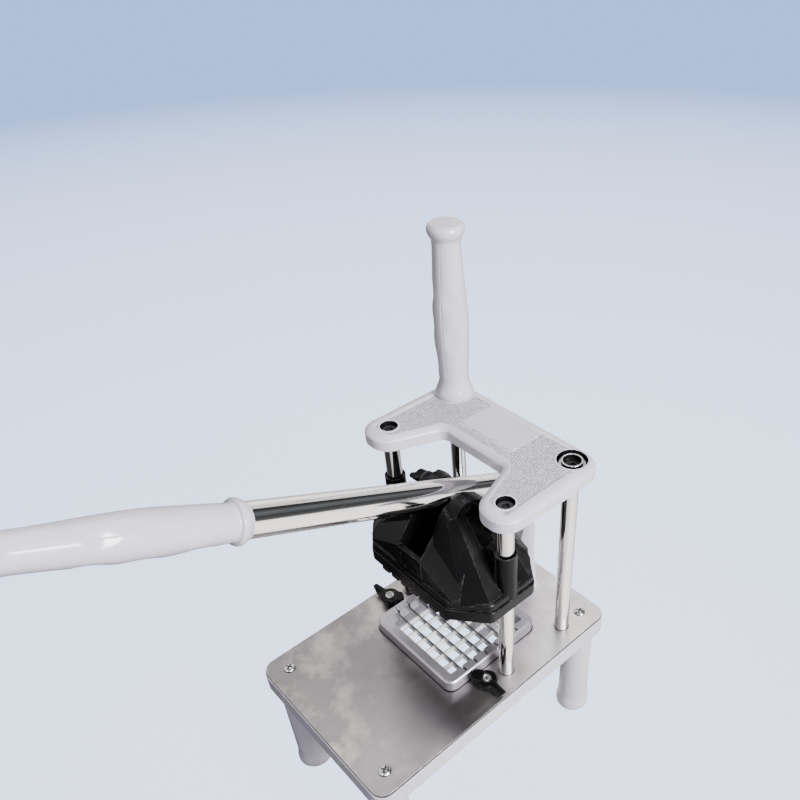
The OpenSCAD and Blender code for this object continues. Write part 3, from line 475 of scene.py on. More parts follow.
def evaluated(mesh, name, *modifiers):
    """The mesh with modifiers, each (kind, settings), worked into it."""
    obj = linked(name, mesh)
    for kind, settings in modifiers:
        made = obj.modifiers.new(kind.lower(), kind)
        for label, value in settings.items():
            setattr(made, label, value)
    graph = bpy.context.evaluated_depsgraph_get()
    done = bpy.data.meshes.new_from_object(obj.evaluated_get(graph))
    bpy.data.objects.remove(obj)
    done.name = name
    return done


def add_piece(name, mesh, nodes, finish, angle=35.0):
    """A finished mesh as a piece that rides with the CAD nodes it stands for."""
    if angle is not None:
        smooth(mesh, angle)
    mesh.name = name
    if finish is not None:
        mesh.materials.clear()
        mesh.materials.append(finishes[finish])
    obj = linked(name, mesh)
    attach(obj, body_of[nodes[0]])
    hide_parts(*nodes)
    return obj


def cad_copy(node, flat=0.4):
    """A CAD node's own mesh in millimetres, merged, and its flat faces made whole if flat."""
    source = frame["nodes"][node]
    bm = bmesh.new()
    bm.from_mesh(source.data)
    bm.transform(source.matrix_world)
    bmesh.ops.scale(bm, vec=(1 / MM, 1 / MM, 1 / MM), verts=bm.verts)
    bmesh.ops.remove_doubles(bm, verts=bm.verts, dist=2e-3)
    if flat:
        bmesh.ops.dissolve_limit(bm, angle_limit=math.radians(flat), verts=bm.verts,
                                 edges=bm.edges)
    return bm


def softened(name, node, finish, width=0.5, segments=2, above=28.0, flat=0.4):
    """A CAD node with every sharp edge rounded a little."""
    mesh = mesh_from(cad_copy(node, flat), name, recalculate=False)
    smooth(mesh, above)
    done = evaluated(mesh, name, ("BEVEL", {
        "width": width * MM, "segments": segments, "limit_method": "ANGLE",
        "angle_limit": math.radians(above), "harden_normals": True,
        "use_clamp_overlap": True, "miter_outer": "MITER_ARC"}))
    return add_piece(name, done, [node], finish, None)


def circle(bm, radius, height, steps, phase=0.0):
    """New points evenly round Z."""
    turns = [2 * math.pi * (k + phase) / steps for k in range(steps)]
    return [bm.verts.new((radius * math.cos(t), radius * math.sin(t), height)) for t in turns]


def skin(bm, rings):
    """Faces between each ring of points and the next."""
    for low, high in zip(rings, rings[1:]):
        for k in range(len(low)):
            after = (k + 1) % len(low)
            bm.faces.new((low[k], low[after], high[after], high[k]))


def cap(bm, rings):
    """Faces over the first and the last ring."""
    bm.faces.new(rings[0])
    bm.faces.new(rings[-1])


def refinish(obj, finish, chosen):
    """Another finish on the faces that pass the test."""
    obj.data.materials.append(finishes[finish])
    last = len(obj.data.materials) - 1
    for face in obj.data.polygons:
        if chosen(face):
            face.material_index = last


def revolve(profile, steps=72):
    """A closed solid turned round Z from (radius, height) points, in millimetres."""
    bm = bmesh.new()
    rings = []
    for radius, height in profile:
        if radius < 1e-6:
            rings.append([bm.verts.new((0, 0, height))])
        else:
            rings.append(circle(bm, radius, height, steps))
    for low, high in zip(rings, rings[1:]):
        for k in range(steps):
            after = (k + 1) % steps
            ring = [low[k % len(low)], low[after % len(low)],
                    high[after % len(high)], high[k % len(high)]]
            bm.faces.new(list(dict.fromkeys(ring)))
    return bm


def spline(points, per=6):
    """Smooth points through (height, radius) stations."""
    out = []
    last = len(points) - 1
    for i in range(last):
        p0, p1 = Vector(points[max(i - 1, 0)]), Vector(points[i])
        p2, p3 = Vector(points[i + 1]), Vector(points[min(i + 2, last)])
        for k in range(per):
            t = k / per
            out.append(0.5 * (2 * p1 + (p2 - p0) * t + (2 * p0 - 5 * p1 + 4 * p2 - p3) * t * t
                              + (3 * p1 - p0 - 3 * p2 + p3) * t ** 3))
    out.append(Vector(points[-1]))
    return out


def place_mesh(bm, matrix):
    bmesh.ops.transform(bm, matrix=matrix, verts=bm.verts)
    return bm


# ---------- geometry node trees ----------

def make_repeat_trees():
    """Trees that lay out copies of one shape: on given points, along a row, and on a grid."""
    ends = [("Shape", "NodeSocketObject", None), ("Finish", "NodeSocketMaterial", None)]

    def new_layout(name, inputs):
        made = new_group(name, inputs + ends, [("Geometry", "NodeSocketGeometry")],
                         "GeometryNodeTree")
        bpy.data.node_groups[name].is_modifier = True
        return made

    def finished(t, i, o, points, rotation=None):
        shape = t.node("GeometryNodeObjectInfo", {"Object": i["Shape"]})
        inputs = {"Points": points, "Instance": shape.outputs["Geometry"]}
        if rotation is not None:
            inputs["Rotation"] = rotation
        copies = t.node("GeometryNodeInstanceOnPoints", inputs)
        real = t.node("GeometryNodeRealizeInstances", {"Geometry": copies.outputs["Instances"]})
        done = t.node("GeometryNodeSetMaterial", {"Geometry": real.outputs["Geometry"],
                                                  "Material": i["Finish"]})
        t.join(done.outputs["Geometry"], o["Geometry"])

    t, i, o = new_layout("copies_on_points", [
        ("Geometry", "NodeSocketGeometry", None), ("Seed", "NodeSocketInt", 7),
        ("Turn", FLOAT, 3.1416)])
    low = t.node("ShaderNodeCombineXYZ")
    high = t.node("ShaderNodeCombineXYZ", {"Z": i["Turn"]})
    spin = t.node("FunctionNodeRandomValue", {"Seed": i["Seed"]}, data_type="FLOAT_VECTOR")
    t.join(low.outputs[0], spin.inputs["Min"])
    t.join(high.outputs[0], spin.inputs["Max"])
    finished(t, i, o, i["Geometry"], spin.outputs["Value"])

    t, i, o = new_layout("copies_in_a_row", [
        ("Count", "NodeSocketInt", BLADES), ("Start", VECTOR, (0, 0, 0)),
        ("Step", VECTOR, (0, FRY_PITCH * MM, 0)), ("Turn", VECTOR, (0, 0, 0))])
    line = t.node("GeometryNodeMeshLine", {"Count": i["Count"], "Start Location": i["Start"],
                                           "Offset": i["Step"]})
    finished(t, i, o, line.outputs["Mesh"], i["Turn"])

    t, i, o = new_layout("copies_on_a_grid", [
        ("Across", "NodeSocketInt", BLADES + 1), ("Width", FLOAT, BLADES * FRY_PITCH * MM),
        ("Centre", VECTOR, (0, 0, 0)), ("Left Out", FLOAT, PUSHER_SCREW * MM)])
    grid = t.node("GeometryNodeMeshGrid", {"Size X": i["Width"], "Size Y": i["Width"],
                                           "Vertices X": i["Across"], "Vertices Y": i["Across"]})
    place = t.node("ShaderNodeSeparateXYZ", {0: t.node("GeometryNodeInputPosition").outputs[0]})
    hits = []
    for axis in ("X", "Y"):
        size = t.maths("ABSOLUTE", place.outputs[axis])
        off = t.maths("ABSOLUTE", t.maths("SUBTRACT", size, i["Left Out"]))
        hits.append(t.maths("LESS_THAN", off, 0.001))
    bored = t.maths("MULTIPLY", hits[0], hits[1])
    kept = t.node("GeometryNodeDeleteGeometry", {"Geometry": grid.outputs["Mesh"],
                                                 "Selection": bored}, domain="POINT")
    moved = t.node("GeometryNodeSetPosition", {"Geometry": kept.outputs["Geometry"],
                                               "Offset": i["Centre"]})
    finished(t, i, o, moved.outputs["Geometry"])


def laid_out(name, tree_name, shape, finish, points=None, **values):
    """A mesh made by one of the repeat trees from a shape in metres."""
    holder = linked(name + "_shape", shape)
    base = bpy.data.meshes.new(name)
    base.from_pydata([tuple(c * MM for c in p) for p in (points or [])], [], [])
    obj = linked(name, base)
    tree = bpy.data.node_groups[tree_name]
    made = obj.modifiers.new("repeat", "NODES")
    made.node_group = tree
    wanted = {"Shape": holder, "Finish": finishes[finish], **values}
    for item in tree.interface.items_tree:
        if item.item_type == "SOCKET" and item.in_out == "INPUT" and item.name in wanted:
            made[item.identifier] = wanted[item.name]
    graph = bpy.context.evaluated_depsgraph_get()
    done = bpy.data.meshes.new_from_object(obj.evaluated_get(graph))
    bpy.data.objects.remove(obj)
    bpy.data.objects.remove(holder)
    done.name = name
    return done


def joined(name, *parts):
    """One mesh out of several, each keeping its own finish."""
    bm = bmesh.new()
    counts = []
    for part in parts:
        bm.from_mesh(part)
        counts.append(len(part.polygons))
    mesh = bpy.data.meshes.new(name)
    bm.to_mesh(mesh)
    bm.free()
    index = [k for k, count in enumerate(counts) for _ in range(count)]
    for part in parts:
        mesh.materials.append(next(made for made in part.materials if made))
    mesh.polygons.foreach_set("material_index", index)
    return mesh


# ---------- grips ----------

GRIP_L = 152.5
FINGERS = ((35, 14), (69, 14), (96, 13))
OVALS = ((93, 9), (60, 14))
GRIP_BODY = [(17, 13), (28, 13.7), (42, 14.4), (61, 15.2), (74, 15.1), (88, 14.5),
             (104, 13.4), (120, 12.4), (134, 11.8), (139, 11.95)]
GRIP_CAP = [(139, 11.95), (141, 12.5), (143, 13.6), (145, 14.6), (147, 15.1), (148.6, 15.1),
            (150, 14.7), (151.2, 14.0), (152.0, 13.2)]
HANDLE_FOOT = [(0, 16.5), (0.6, 17), (2, 17.2), (4, 17), (6.5, 16.2), (9, 15.1),
               (11.5, 14.2), (14, 13.4), (17, 13)]
COLLAR_NOSE = [(2.2, 12.7), (2.8, 13.2), (3.8, 13.5), (5.2, 14.4), (7, 15.4), (8.8, 15.8),
               (10.2, 15.6), (11.1, 14.9), (11.7, 13.5), (13.2, 13.1), (17, 13)]


def swell(t):
    return math.cos(math.radians(90 * t)) ** 2 if abs(t) < 1 else 0.0


def apart(a, b):
    return abs(((a - b) % 360 + 540) % 360 - 180)


def grip_mesh(name, foot, side, bore, matrix, seams):
    """A moulded grip with finger hollows on one side, thumb ovals and parting lines."""
    steps = 144
    stations = spline(foot, 5)[:-1] + spline(GRIP_BODY, 10)[:-1] + spline(GRIP_CAP, 6)
    bm = bmesh.new()
    rings = []
    for height, radius in ((s.x, s.y) for s in stations):
        ring = []
        for k in range(steps):
            angle = 360 * k / steps
            finger = 2.7 * swell(apart(angle, side) / 66) * sum(
                swell((height - at) / reach) for at, reach in FINGERS)
            oval = 1.1 * swell(apart(angle, side + 122) / 26) ** 0.6 * sum(
                swell((height - at) / reach) ** 0.6 for at, reach in OVALS)
            seam = 0.3 if min(apart(angle, a) for a in seams) < 1.3 and 18 < height < 139 else 0.0
            r = radius - finger - oval - seam
            turn = math.radians(angle)
            ring.append(bm.verts.new((r * math.cos(turn), r * math.sin(turn), height)))
        rings.append(ring)
    for inner, height in ((12.9, GRIP_L - 0.05), (12.3, GRIP_L), (4.0, GRIP_L)):
        rings.append(circle(bm, inner, height, steps))
    rings.insert(0, circle(bm, bore, foot[0][0], steps))
    skin(bm, rings)
    cap(bm, rings)
    place_mesh(bm, matrix)
    return mesh_from(bm, name)


def make_grips():
    upright = Matrix.Translation((-ROD_X, POST_Y, BRACKET_TOP))
    add_piece("steadying_handle", grip_mesh("steadying_handle", HANDLE_FOOT, 198, 6.0,
                                            upright, (110, 290)),
              ["upright_handle"], "grey_moulding", 24)
    lever = Matrix.Translation(PIVOT) @ Matrix.Rotation(math.radians(-LEVER_ANGLE), 4, "X")
    turned = lever @ Matrix.Rotation(math.radians(90), 4, "X")
    add_piece("pressing_grip", grip_mesh("pressing_grip", COLLAR_NOSE, 270, 6.0,
                                         turned @ Matrix.Translation((0, 0, 180)), (35, 105, 215)),
              ["lever_grip"], "grey_moulding", 24)
    # Lever tube, with its ends turned in a little and the bore left open at the rear
    profile = [(TUBE_BORE_R, -TUBE_REAR), (TUBE_R - 0.5, -TUBE_REAR), (TUBE_R, 0.5 - TUBE_REAR),
               (TUBE_R, TUBE_FRONT - 0.4), (TUBE_R - 0.3, TUBE_FRONT), (TUBE_BORE_R, TUBE_FRONT)]
    bm = revolve(profile + [profile[0]], 96)
    place_mesh(bm, turned)
    add_piece("lever_tube_bright", mesh_from(bm, "lever_tube_bright"), ["lever_tube"], "bright_rod")


# ---------- rods, legs and screws ----------

def make_rods():
    for node, x, y in (("guide_rod_left", -ROD_X, GUIDE_Y), ("guide_rod_right", ROD_X, GUIDE_Y),
                       ("rear_post_left", -ROD_X, POST_Y), ("rear_post_right", ROD_X, POST_Y)):
        low, spigot, bore = 124.5, 5, 3
        profile = [(0, low), (spigot - 0.6, low), (spigot, low + 0.6), (spigot, PLATE_TOP),
                   (ROD_R - 0.4, PLATE_TOP), (ROD_R, PLATE_TOP + 0.4), (ROD_R, BRACKET_Z - 0.4),
                   (ROD_R - 0.4, BRACKET_Z), (spigot, BRACKET_Z), (spigot, BRACKET_Z + 2.8),
                   (bore, BRACKET_Z + 2.8), (bore, BRACKET_Z - 18), (0, BRACKET_Z - 18)]
        bm = place_mesh(revolve(profile, 96), Matrix.Translation((x, y, 0)))
        add_piece(node + "_bright", mesh_from(bm, node), [node], "bright_rod")


def make_legs():
    for node, sx, sy in (("leg_front_left", -1, -1), ("leg_front_right", 1, -1),
                         ("leg_rear_left", -1, 1), ("leg_rear_right", 1, 1)):
        foot, low, top = 17.5, 15.75, 14.75
        arc = [(foot - 5.5 + 5.5 * math.sin(math.radians(a)),
                5.5 - 5.5 * math.cos(math.radians(a))) for a in range(0, 91, 9)]
        flare = [(foot + (low - foot) * (1 - math.cos(math.pi * t / 12)) / 2, 8 + 14 * t / 12)
                 for t in range(13)]
        profile = [(0, 0.35), (8.6, 0.35), (9.2, 0)] + arc + flare + [(top, 125), (0, 125)]
        bm = place_mesh(revolve(profile, 96), Matrix.Translation((LEG_X * sx, LEG_Y * sy, 0)))
        add_piece(node + "_moulding", mesh_from(bm, node), [node], "grey_moulding")


def cross_bars(head_r, head_h, wide_top, tops, foot):
    """Two crossed bars that narrow downwards, their tops and foot as shares of the head."""
    bm = bmesh.new()
    for turn, top in zip((0, 90), tops):
        made = bmesh.ops.create_cube(bm, size=1.0)["verts"]
        for v in made:
            wide, high = (wide_top, top) if v.co.z > 0 else (0.6, foot)
            v.co = Vector((v.co.x * head_r * 1.3 * wide, v.co.y * head_r * 0.34 * wide,
                           head_h * high))
        bmesh.ops.rotate(bm, verts=made, matrix=Matrix.Rotation(math.radians(turn), 3, "Z"))
    return mesh_from(bm, "cross_bars")


def cross_head(head_r, head_h, shank_r, shank_l):
    """A pan-head screw with a tapered cross recess, its seat at Z = 0."""
    dome = [(head_r * (0.45 * math.cos(math.radians(a)) + 0.55 * (1 - a / 90)),
             head_h * (0.35 + 0.65 * math.sin(math.radians(a)))) for a in range(0, 91, 6)]
    profile = [(0, -shank_l), (shank_r * 0.7, -shank_l), (shank_r, -shank_l + 1),
               (shank_r, 0), (head_r - 0.2, 0), (head_r, 0.25)] + dome[:-1] + [(0, head_h)]
    body = mesh_from(revolve(profile, 48), "screw_body")
    tool = linked("recess", cross_bars(head_r, head_h, 1.0, (1.15, 1.15), 0.2))
    done = evaluated(body, "screw", ("BOOLEAN", {"object": tool, "operation": "DIFFERENCE",
                                                 "solver": "EXACT", "use_self": True}))
    bpy.data.objects.remove(tool)
    return done


def cross_shade(head_r, head_h):
    """Painted shade: a dark insert inside a cross recess."""
    return cross_bars(head_r, head_h, 0.97, (0.9, 0.92), 0.22)


def hex_nut(corner_r, bore_r, tall, steps=36):
    """A hexagon nut with its corners turned down at both faces."""
    bm = bmesh.new()
    levels = []
    for height, pull in ((0, 0.9), (0.7, 0.0), (tall - 0.7, 0.0), (tall, 0.9)):
        ring = []
        for k in range(steps):
            turn = 2 * math.pi * k / steps
            from_flat = (turn % (math.pi / 3)) - math.pi / 6
            flat = corner_r * math.cos(math.pi / 6) / math.cos(from_flat)
            reach = min(flat, corner_r - pull)
            ring.append(bm.verts.new((reach * math.cos(turn), reach * math.sin(turn), height)))
        levels.append(ring)
    for height in (tall, 0):
        levels.append(circle(bm, bore_r, height, steps))
    skin(bm, levels + levels[:1])
    return mesh_from(bm, "nut")


def make_screws():
    legs = [(x, y, PLATE_TOP) for x in (-LEG_X, LEG_X) for y in (-LEG_Y, LEG_Y)]
    heads = laid_out("plate_screws", "copies_on_points", cross_head(SCREW_HEAD_R, 2.8, 3, 40),
                     "zinc", legs, Seed=4)
    shades = laid_out("plate_screw_shades", "copies_on_points", cross_shade(SCREW_HEAD_R, 2.8),
                      "black_steel", legs, Seed=4)
    add_piece("plate_screws", joined("plate_screws", heads, shades), ["leg_screws"], None)
    bore, nut_low, washer_low = 5.05, 125.5, 131.5
    places = [(x, y, nut_low) for x in (-ROD_X, ROD_X) for y in (GUIDE_Y, POST_Y)]
    mesh = laid_out("rod_nuts_set", "copies_on_points", hex_nut(9.2, bore, 5.98), "zinc", places,
                    Seed=2, Turn=1.0)
    add_piece("rod_nuts_set", mesh, ["rod_nuts"], None)
    ring = [(bore, 0), (9.3, 0), (9.5, 0.2), (9.5, 1.28), (9.3, 1.48), (bore, 1.48), (bore, 0)]
    places = [(x, y, washer_low) for x, y, z in places]
    mesh = laid_out("rod_washers_set", "copies_on_points", mesh_from(revolve(ring, 48), "washer"),
                    "zinc", places)
    add_piece("rod_washers_set", mesh, ["rod_washers"], None)


# ---------- blades and pusher ----------

def ground_blade(upper, half_lap, slit_low):
    """One blade on edge along X, from the plate, with half-lap slits and a honed upper edge."""
    reach, half_t, slit = 51.0, 0.45, 0.47
    cuts = [(i - (BLADES - 1) / 2) * FRY_PITCH for i in range(BLADES)]
    xs = [-reach] + [c + s for c in cuts for s in (-slit, slit)] + [reach]
    zs = [0.5, half_lap, upper - 2.4, upper]

    def solid(i, j):
        if not (0 <= i < len(xs) - 1 and 0 <= j < len(zs) - 1):
            return False
        cut = i % 2 == 1
        return not (cut and (j == 0 if slit_low else j > 0))

    bm = bmesh.new()
    half = {0: half_t, 1: half_t, 2: half_t, 3: 0.07}

    def corner(i, j, side):
        return bm.verts.new((xs[i], side * half[j], zs[j]))

    for i in range(len(xs) - 1):
        for j in range(len(zs) - 1):
            if not solid(i, j):
                continue
            for side in (-1, 1):
                bm.faces.new([corner(i, j, side), corner(i + 1, j, side),
                              corner(i + 1, j + 1, side), corner(i, j + 1, side)])
            left, right = ((i, j), (i, j + 1)), ((i + 1, j), (i + 1, j + 1))
            under, over = ((i, j), (i + 1, j)), ((i, j + 1), (i + 1, j + 1))
            for di, dj, (a, b) in ((-1, 0, left), (1, 0, right), (0, -1, under), (0, 1, over)):
                if not solid(i + di, j + dj):
                    bm.faces.new([corner(*a, -1), corner(*b, -1), corner(*b, 1), corner(*a, 1)])
    return mesh_from(bm, "blade")


def make_blades():
    start = -(BLADES - 1) / 2 * FRY_PITCH
    mesh = laid_out("blades_across_set", "copies_in_a_row", ground_blade(9, 4.02, True),
                    "blade_steel", Start=(0, (GUIDE_Y + start) * MM, PLATE_TOP * MM),
                    Step=(0, FRY_PITCH * MM, 0))
    add_piece("blades_across_set", mesh, ["blades_across"], None, 20)
    mesh = laid_out("blades_along_set", "copies_in_a_row", ground_blade(7.6, 3.98, False),
                    "blade_steel_along", Start=(start * MM, GUIDE_Y * MM, PLATE_TOP * MM),
                    Step=(FRY_PITCH * MM, 0, 0), Turn=(0, 0, math.pi / 2))
    add_piece("blades_along_set", mesh, ["blades_along"], None, 20)


def square_ring(half, steps=32):
    """Points round a square of rounded corners, one for each even step of angle."""
    out = []
    power = 14.0
    for k in range(steps):
        turn = 2 * math.pi * (k + 0.5) / steps
        c, s = math.cos(turn), math.sin(turn)
        reach = half / (abs(c) ** power + abs(s) ** power) ** (1 / power)
        out.append((reach * c, reach * s))
    return out


def make_pusher():
    rim = PLATE_TOP + PUSHER_FACE
    low = rim - PEG_L
    side = [(PEG_HALF - 0.4, low + 0.15), (PEG_HALF - 0.1, low + 0.5), (PEG_HALF, low + 1.1),
            (PEG_HALF, rim + 0.5)]

    def peg_levels(bm, end):
        return [[bm.verts.new((x, y, z)) for x, y in square_ring(half)]
                for half, z in [(end, low)] + side]

    peg = bmesh.new()
    levels = peg_levels(peg, PEG_HALF - 1.0)
    skin(peg, levels)
    cap(peg, levels)
    mesh = laid_out("pusher_pegs", "copies_on_a_grid", mesh_from(peg, "peg"), "black_moulding",
                    Centre=(0, GUIDE_Y * MM, 0))
    bored = bmesh.new()
    levels = list(reversed(peg_levels(bored, PEG_HALF - 0.7)))
    for z in (low, rim):
        levels.append(circle(bored, PEG_BORE_R, z, 32, 0.5))
    skin(bored, levels)
    cap(bored, levels)
    screws = [(x, y) for x in (-PUSHER_SCREW, PUSHER_SCREW) for y in (-PUSHER_SCREW, PUSHER_SCREW)]
    more = laid_out("bored_pegs", "copies_on_points", mesh_from(bored, "bored_peg"),
                    "black_moulding", [(x, GUIDE_Y + y, 0) for x, y in screws], Turn=0.0)
    plate = bmesh.new()
    corners = ((1, 1), (-1, 1), (-1, -1), (1, -1))
    levels = [[plate.verts.new((half * x, GUIDE_Y + half * y, z)) for x, y in corners]
              for half, z in ((44.8, rim), (45.1, rim + 0.3), (45.1, rim + 7.98))]
    skin(plate, levels)
    cap(plate, levels)
    together = bmesh.new()
    for part in (mesh, more, mesh_from(plate, "pusher_plate")):
        together.from_mesh(part)
    done = bpy.data.meshes.new("pusher_with_pegs")
    together.to_mesh(done)
    together.free()
    add_piece("pusher_with_pegs", done, ["pusher_block"], "black_moulding", 40)
    heads = laid_out("pusher_screws_set", "copies_on_points", cross_head(3.5, 2, 2, 17), "zinc",
                     [(x, -(GUIDE_Y + y), -(rim - 0.02)) for x, y in screws], Seed=9)
    heads.transform(Matrix.Rotation(math.pi, 4, "X"))
    add_piece("pusher_screws_set", heads, ["pusher_screws"], None)


# ---------- moulded and cast pieces ----------

def melted(name, node, finish, voxel=0.4, rounds=5):
    """A CAD node remeshed finely and relaxed, so that all its edges flow as in a moulding."""
    mesh = mesh_from(cad_copy(node), name, recalculate=False)
    done = evaluated(mesh, name,
                     ("REMESH", {"mode": "VOXEL", "voxel_size": voxel * MM,
                                 "use_smooth_shade": True}),
                     ("SMOOTH", {"factor": 0.5, "iterations": rounds}))
    return add_piece(name, done, [node], finish, 60)


def make_bracket():
    """The top bracket: coated casting, its sunk field pebbled and its holes made dark inside with
    the black finish as painted shade.
    """
    obj = softened("bracket_casting", "top_bracket", "grey_casting", 0.22, 1, 11, 0)
    field = BRACKET_TOP - 0.5

    def in_field(face):
        return face.normal.z > 0.99 and abs(face.center.z / MM - field) < 0.06

    def in_hole(face):
        middle = face.center / MM
        from_arm = math.hypot(abs(middle.x) - ROD_X, middle.y - GUIDE_Y)
        from_socket = math.hypot(middle.x - ROD_X, middle.y - POST_Y)
        inside = from_arm < ARM_HOLE_R or from_socket < SOCKET_R
        return inside and middle.z < BRACKET_TOP - 0.3

    refinish(obj, "pebbled_casting", in_field)
    # Painted shade: the walls inside the arm holes and the socket get the black finish
    refinish(obj, "black_moulding", in_hole)


def make_small_parts():
    made = {}
    for name, node, finish, width, segments, above in (
            ("stainless_plate", "base_plate", "brushed_plate", 0.35, 2, 40),
            ("moulded_base_frame", "base_frame", "grey_moulding", 0.9, 3, 40),
            ("blade_frame_satin", "blade_frame", "blade_alloy", 0.35, 2, 14),
            ("carriage_moulding", "carriage_body", "black_moulding", 0.45, 2, 9),
            ("rear_stand_casting", "fulcrum_stand", "grey_casting", 1.0, 3, 30),
            ("bracket_screws", "rod_cap_screws", "black_steel", 0.3, 2, 40),
            ("free_socket_ring", "handle_socket", "zinc", 0.25, 2, 40),
            ("stand_screws_set", "stand_screws", "zinc", 0.15, 1, 40),
            ("rear_pin", "fulcrum_pin", "zinc", 0.3, 2, 40),
            ("rear_pin_clips", "pin_clips", "zinc", 0.15, 1, 40),
            ("tongue", "lever_tail", "zinc", 0.6, 2, 40),
            ("tail_pins_set", "tail_pins", "bright_rod", 0.3, 2, 40),
            ("pivot_bolt_black", "pivot_bolt", "black_steel", 0.35, 2, 40),
            ("pivot_washer_black", "pivot_washer", "black_steel", 0.2, 2, 40),
            ("wing_nut_ring", "wing_nut_insert", "black_steel", 0.2, 2, 40)):
        made[name] = softened(name, node, finish, width, segments, above)
    # Painted shade: the plate's edge faces get the nearly black finish
    refinish(made["stainless_plate"], "edge_painted_shade", lambda face: abs(face.normal.z) < 0.3)
    # Painted shade: the walls of the socket ring get the black finish
    refinish(made["free_socket_ring"], "black_moulding", lambda face: face.normal.z < 0.3)
    for side in ("left", "right"):
        softened(f"sleeve_bush_{side}", f"guide_bush_{side}", "bush_nylon", 0.2, 2, 40)
        x = -ROD_X if side == "left" else ROD_X
        ring = [(2.56, 0.5), (4.2, 0.5), (4.28, 0.6), (4.28, 10.7), (4.1, 11.1), (3.45, 11.2),
                (3.35, 11.1), (3.3, 9.6), (2.56, 9.4), (2.56, 0.5)]
        bm = place_mesh(revolve(ring, 48), Matrix.Translation((x, KNOB_Y, PLATE_TOP)))
        add_piece(f"knob_ring_{side}", mesh_from(bm, "knob_ring"), [f"knob_insert_{side}"], "zinc")
        tip = laid_out("stud_tip", "copies_on_points", cross_head(2.48, 1.2, 2.48, 24.9), "zinc",
                       [(x, KNOB_Y, PLATE_TOP + 10.1)], Seed=3)
        shade = laid_out("stud_shade", "copies_on_points", cross_shade(2.48, 1.2), "black_steel",
                         [(x, KNOB_Y, PLATE_TOP + 10.1)], Seed=3)
        add_piece(f"clamp_stud_tip_{side}", joined("stud_tip", tip, shade),
                  [f"clamp_stud_{side}"], None)
        melted(f"wing_knob_{side}", f"knob_{side}", "black_moulding", 0.34, 4)
    melted("pivot_wing_nut", "wing_nut", "black_moulding", 0.4, 4)


def finish_hidden_nodes():
    """Every CAD node gets the finish of its slot, for those that no piece replaces."""
    for part in record["subparts"]:
        mesh = frame["nodes"][part["node"]].data
        mesh.materials.clear()
        mesh.materials.append(finishes[part["material_slot"]])


# ---------- floor and light ----------

def bands(t, turn, stops):
    """A soft ramp of shades over a whole turn, from (place, shade, warmth) stops."""
    ramp = t.node("ShaderNodeValToRGB", {"Fac": t.range(turn, -math.pi, math.pi)})
    ramp.color_ramp.interpolation = "EASE"
    made = ramp.color_ramp.elements
    while len(made) < len(stops):
        made.new(0.5)
    for element, (place, shade, warmth) in zip(made, stops):
        element.position = place
        element.color = (shade * warmth, shade, shade / warmth, 1)
    return ramp.outputs["Color"]


def make_floor():
    """A plain pale floor, which bright metal sees as light and dark bands round the cutter."""
    mesh = bpy.data.meshes.new("floor")
    half = 60.0
    mesh.from_pydata([(-half, -half, 0), (half, -half, 0), (half, half, 0), (-half, half, 0)],
                     [], [(0, 1, 2, 3)])
    floor = linked("floor", mesh)
    material = bpy.data.materials.new("floor")
    material.use_nodes = True
    t = Tree(material.node_tree)
    shader = material.node_tree.nodes["Principled BSDF"]
    shader.inputs["Base Color"].default_value = (0.20, 0.21, 0.235, 1)
    shader.inputs["Roughness"].default_value = 0.85
    where = t.node("ShaderNodeTexCoord").outputs["Object"]
    place = t.node("ShaderNodeSeparateXYZ", {0: where})
    turn = t.maths("ARCTAN2", place.outputs["Y"], place.outputs["X"])
    seen = bands(t, turn, ((0.0, 0.12, 1.0), (0.07, 0.02, 1.0), (0.26, 0.02, 1.0),
                           (0.31, 0.40, 1.03), (0.38, 0.60, 1.02), (0.52, 1.0, 1.04),
                           (0.68, 0.75, 1.0), (0.75, 0.15, 1.0), (0.87, 0.5, 1.03),
                           (1.0, 0.12, 1.0)))
    glow = t.node("ShaderNodeEmission", {"Color": seen, "Strength": 2.4})
    far = t.node("ShaderNodeVectorMath", {0: where}, operation="LENGTH").outputs["Value"]
    pale = t.node("ShaderNodeMix", data_type="RGBA")
    t.join(t.range(far, 0.3, 3.2), pale.inputs[0])
    pale.inputs[6].default_value = (2.5, 2.9, 3.9, 1)
    pale.inputs[7].default_value = (0.53, 0.84, 1.6, 1)
    lit = t.node("ShaderNodeEmission", {"Color": pale.outputs[2], "Strength": 1.0})
    soft = t.node("ShaderNodeMixShader", {0: t.range(far, 0.5, 2.5, 0.74, 1.0)})
    t.join(shader.outputs["BSDF"], soft.inputs[1])
    t.join(lit.outputs["Emission"], soft.inputs[2])
    path = t.node("ShaderNodeLightPath")
    viewed = t.node("ShaderNodeMixShader", {0: path.outputs["Is Camera Ray"]})
    t.join(shader.outputs["BSDF"], viewed.inputs[1])
    t.join(soft.outputs[0], viewed.inputs[2])
    both = t.node("ShaderNodeMixShader", {0: path.outputs["Is Glossy Ray"]})
    t.join(viewed.outputs[0], both.inputs[1])
    t.join(glow.outputs["Emission"], both.inputs[2])
    t.join(both.outputs[0], material.node_tree.nodes["Material Output"].inputs["Surface"])
    mesh.materials.append(material)


def add_area(name, place, aim, size, power, colour=(1, 1, 1)):
    data = bpy.data.lights.new(name, "AREA")
    data.shape = "RECTANGLE"
    data.size, data.size_y = size
    data.energy = power
    data.color = colour
    light = linked(name, data)
    light.location = place
    light.rotation_euler = (Vector(place) - Vector(aim)).to_track_quat("Z", "Y").to_euler()


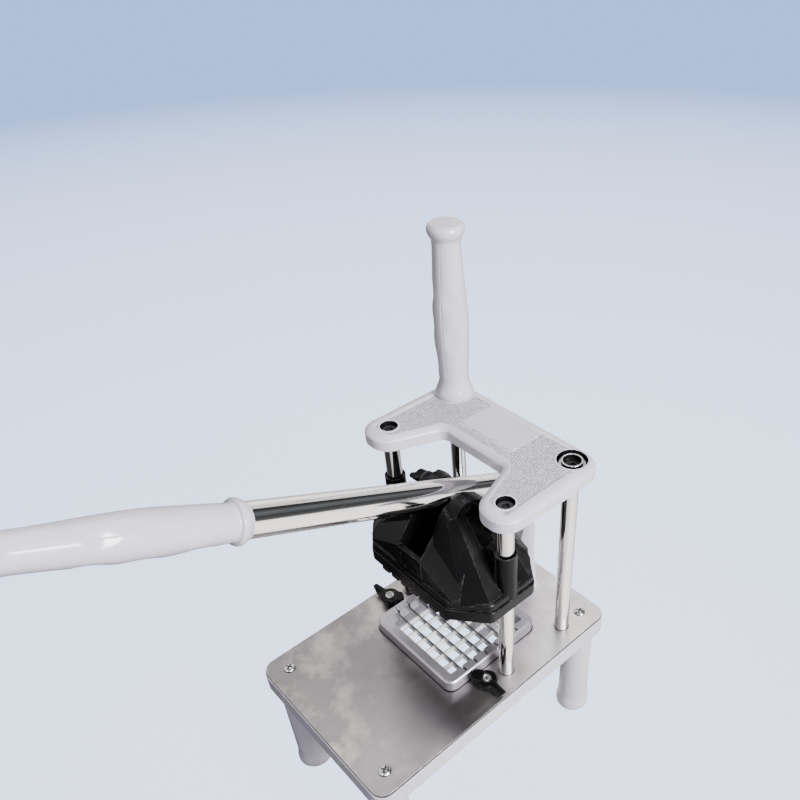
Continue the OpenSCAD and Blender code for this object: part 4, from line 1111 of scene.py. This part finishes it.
def make_light():
    """Soft boxes, and a room that bright metal sees as bright on its left and dark on its right."""
    middle = (0, 0, 0.25)
    add_area("key", (1.6, 0.1, 1.2), middle, (0.7, 0.7), 118, (1.0, 0.985, 0.98))
    add_area("fill", (-0.1, -1.7, 0.9), middle, (1.2, 0.9), 3.5, (0.97, 0.97, 1.0))
    add_area("spark left", (0.1, -1.3, 1.25), middle, (0.16, 0.16), 5)
    add_area("spark right", (1.15, -0.75, 1.25), middle, (0.16, 0.16), 9)
    add_area("top", (-0.3, 0.5, 1.7), middle, (1.2, 1.0), 13, (0.98, 0.98, 1.0))
    world = bpy.data.worlds.new("studio")
    bpy.context.scene.world = world
    world.use_nodes = True
    t = Tree(world.node_tree)
    back = world.node_tree.nodes["Background"]
    way = t.node("ShaderNodeSeparateXYZ", {0: t.node("ShaderNodeTexCoord").outputs["Generated"]})
    rise = t.maths("ARCTAN2", way.outputs["Z"], way.outputs["X"])
    seen = bands(t, rise, ((0.0, 0.5, 1.0), (0.50, 0.4, 1.0), (0.515, 0.06, 1.0),
                           (0.56, 0.03, 0.97), (0.64, 0.075, 0.93), (0.73, 0.02, 1.0),
                           (0.765, 0.015, 1.0), (0.785, 0.50, 1.03), (0.86, 0.55, 1.03),
                           (0.93, 1.0, 1.03), (1.0, 0.75, 1.0)))
    path = t.node("ShaderNodeLightPath")
    lit = t.node("ShaderNodeMix", data_type="RGBA")
    t.join(path.outputs["Is Glossy Ray"], lit.inputs[0])
    lit.inputs[6].default_value = (0.038, 0.038, 0.044, 1)
    t.join(seen, lit.inputs[7])
    viewed = t.node("ShaderNodeMix", data_type="RGBA")
    t.join(path.outputs["Is Camera Ray"], viewed.inputs[0])
    t.join(lit.outputs[2], viewed.inputs[6])
    viewed.inputs[7].default_value = (0.24, 0.38, 0.72, 1)
    t.join(viewed.outputs[2], back.inputs["Color"])
    back.inputs["Strength"].default_value = 2.2


make_camera()
finishes = make_finishes()
make_repeat_trees()
make_grips()
make_rods()
make_legs()
make_screws()
make_blades()
make_pusher()
make_bracket()
make_small_parts()
finish_hidden_nodes()
make_floor()
make_light()
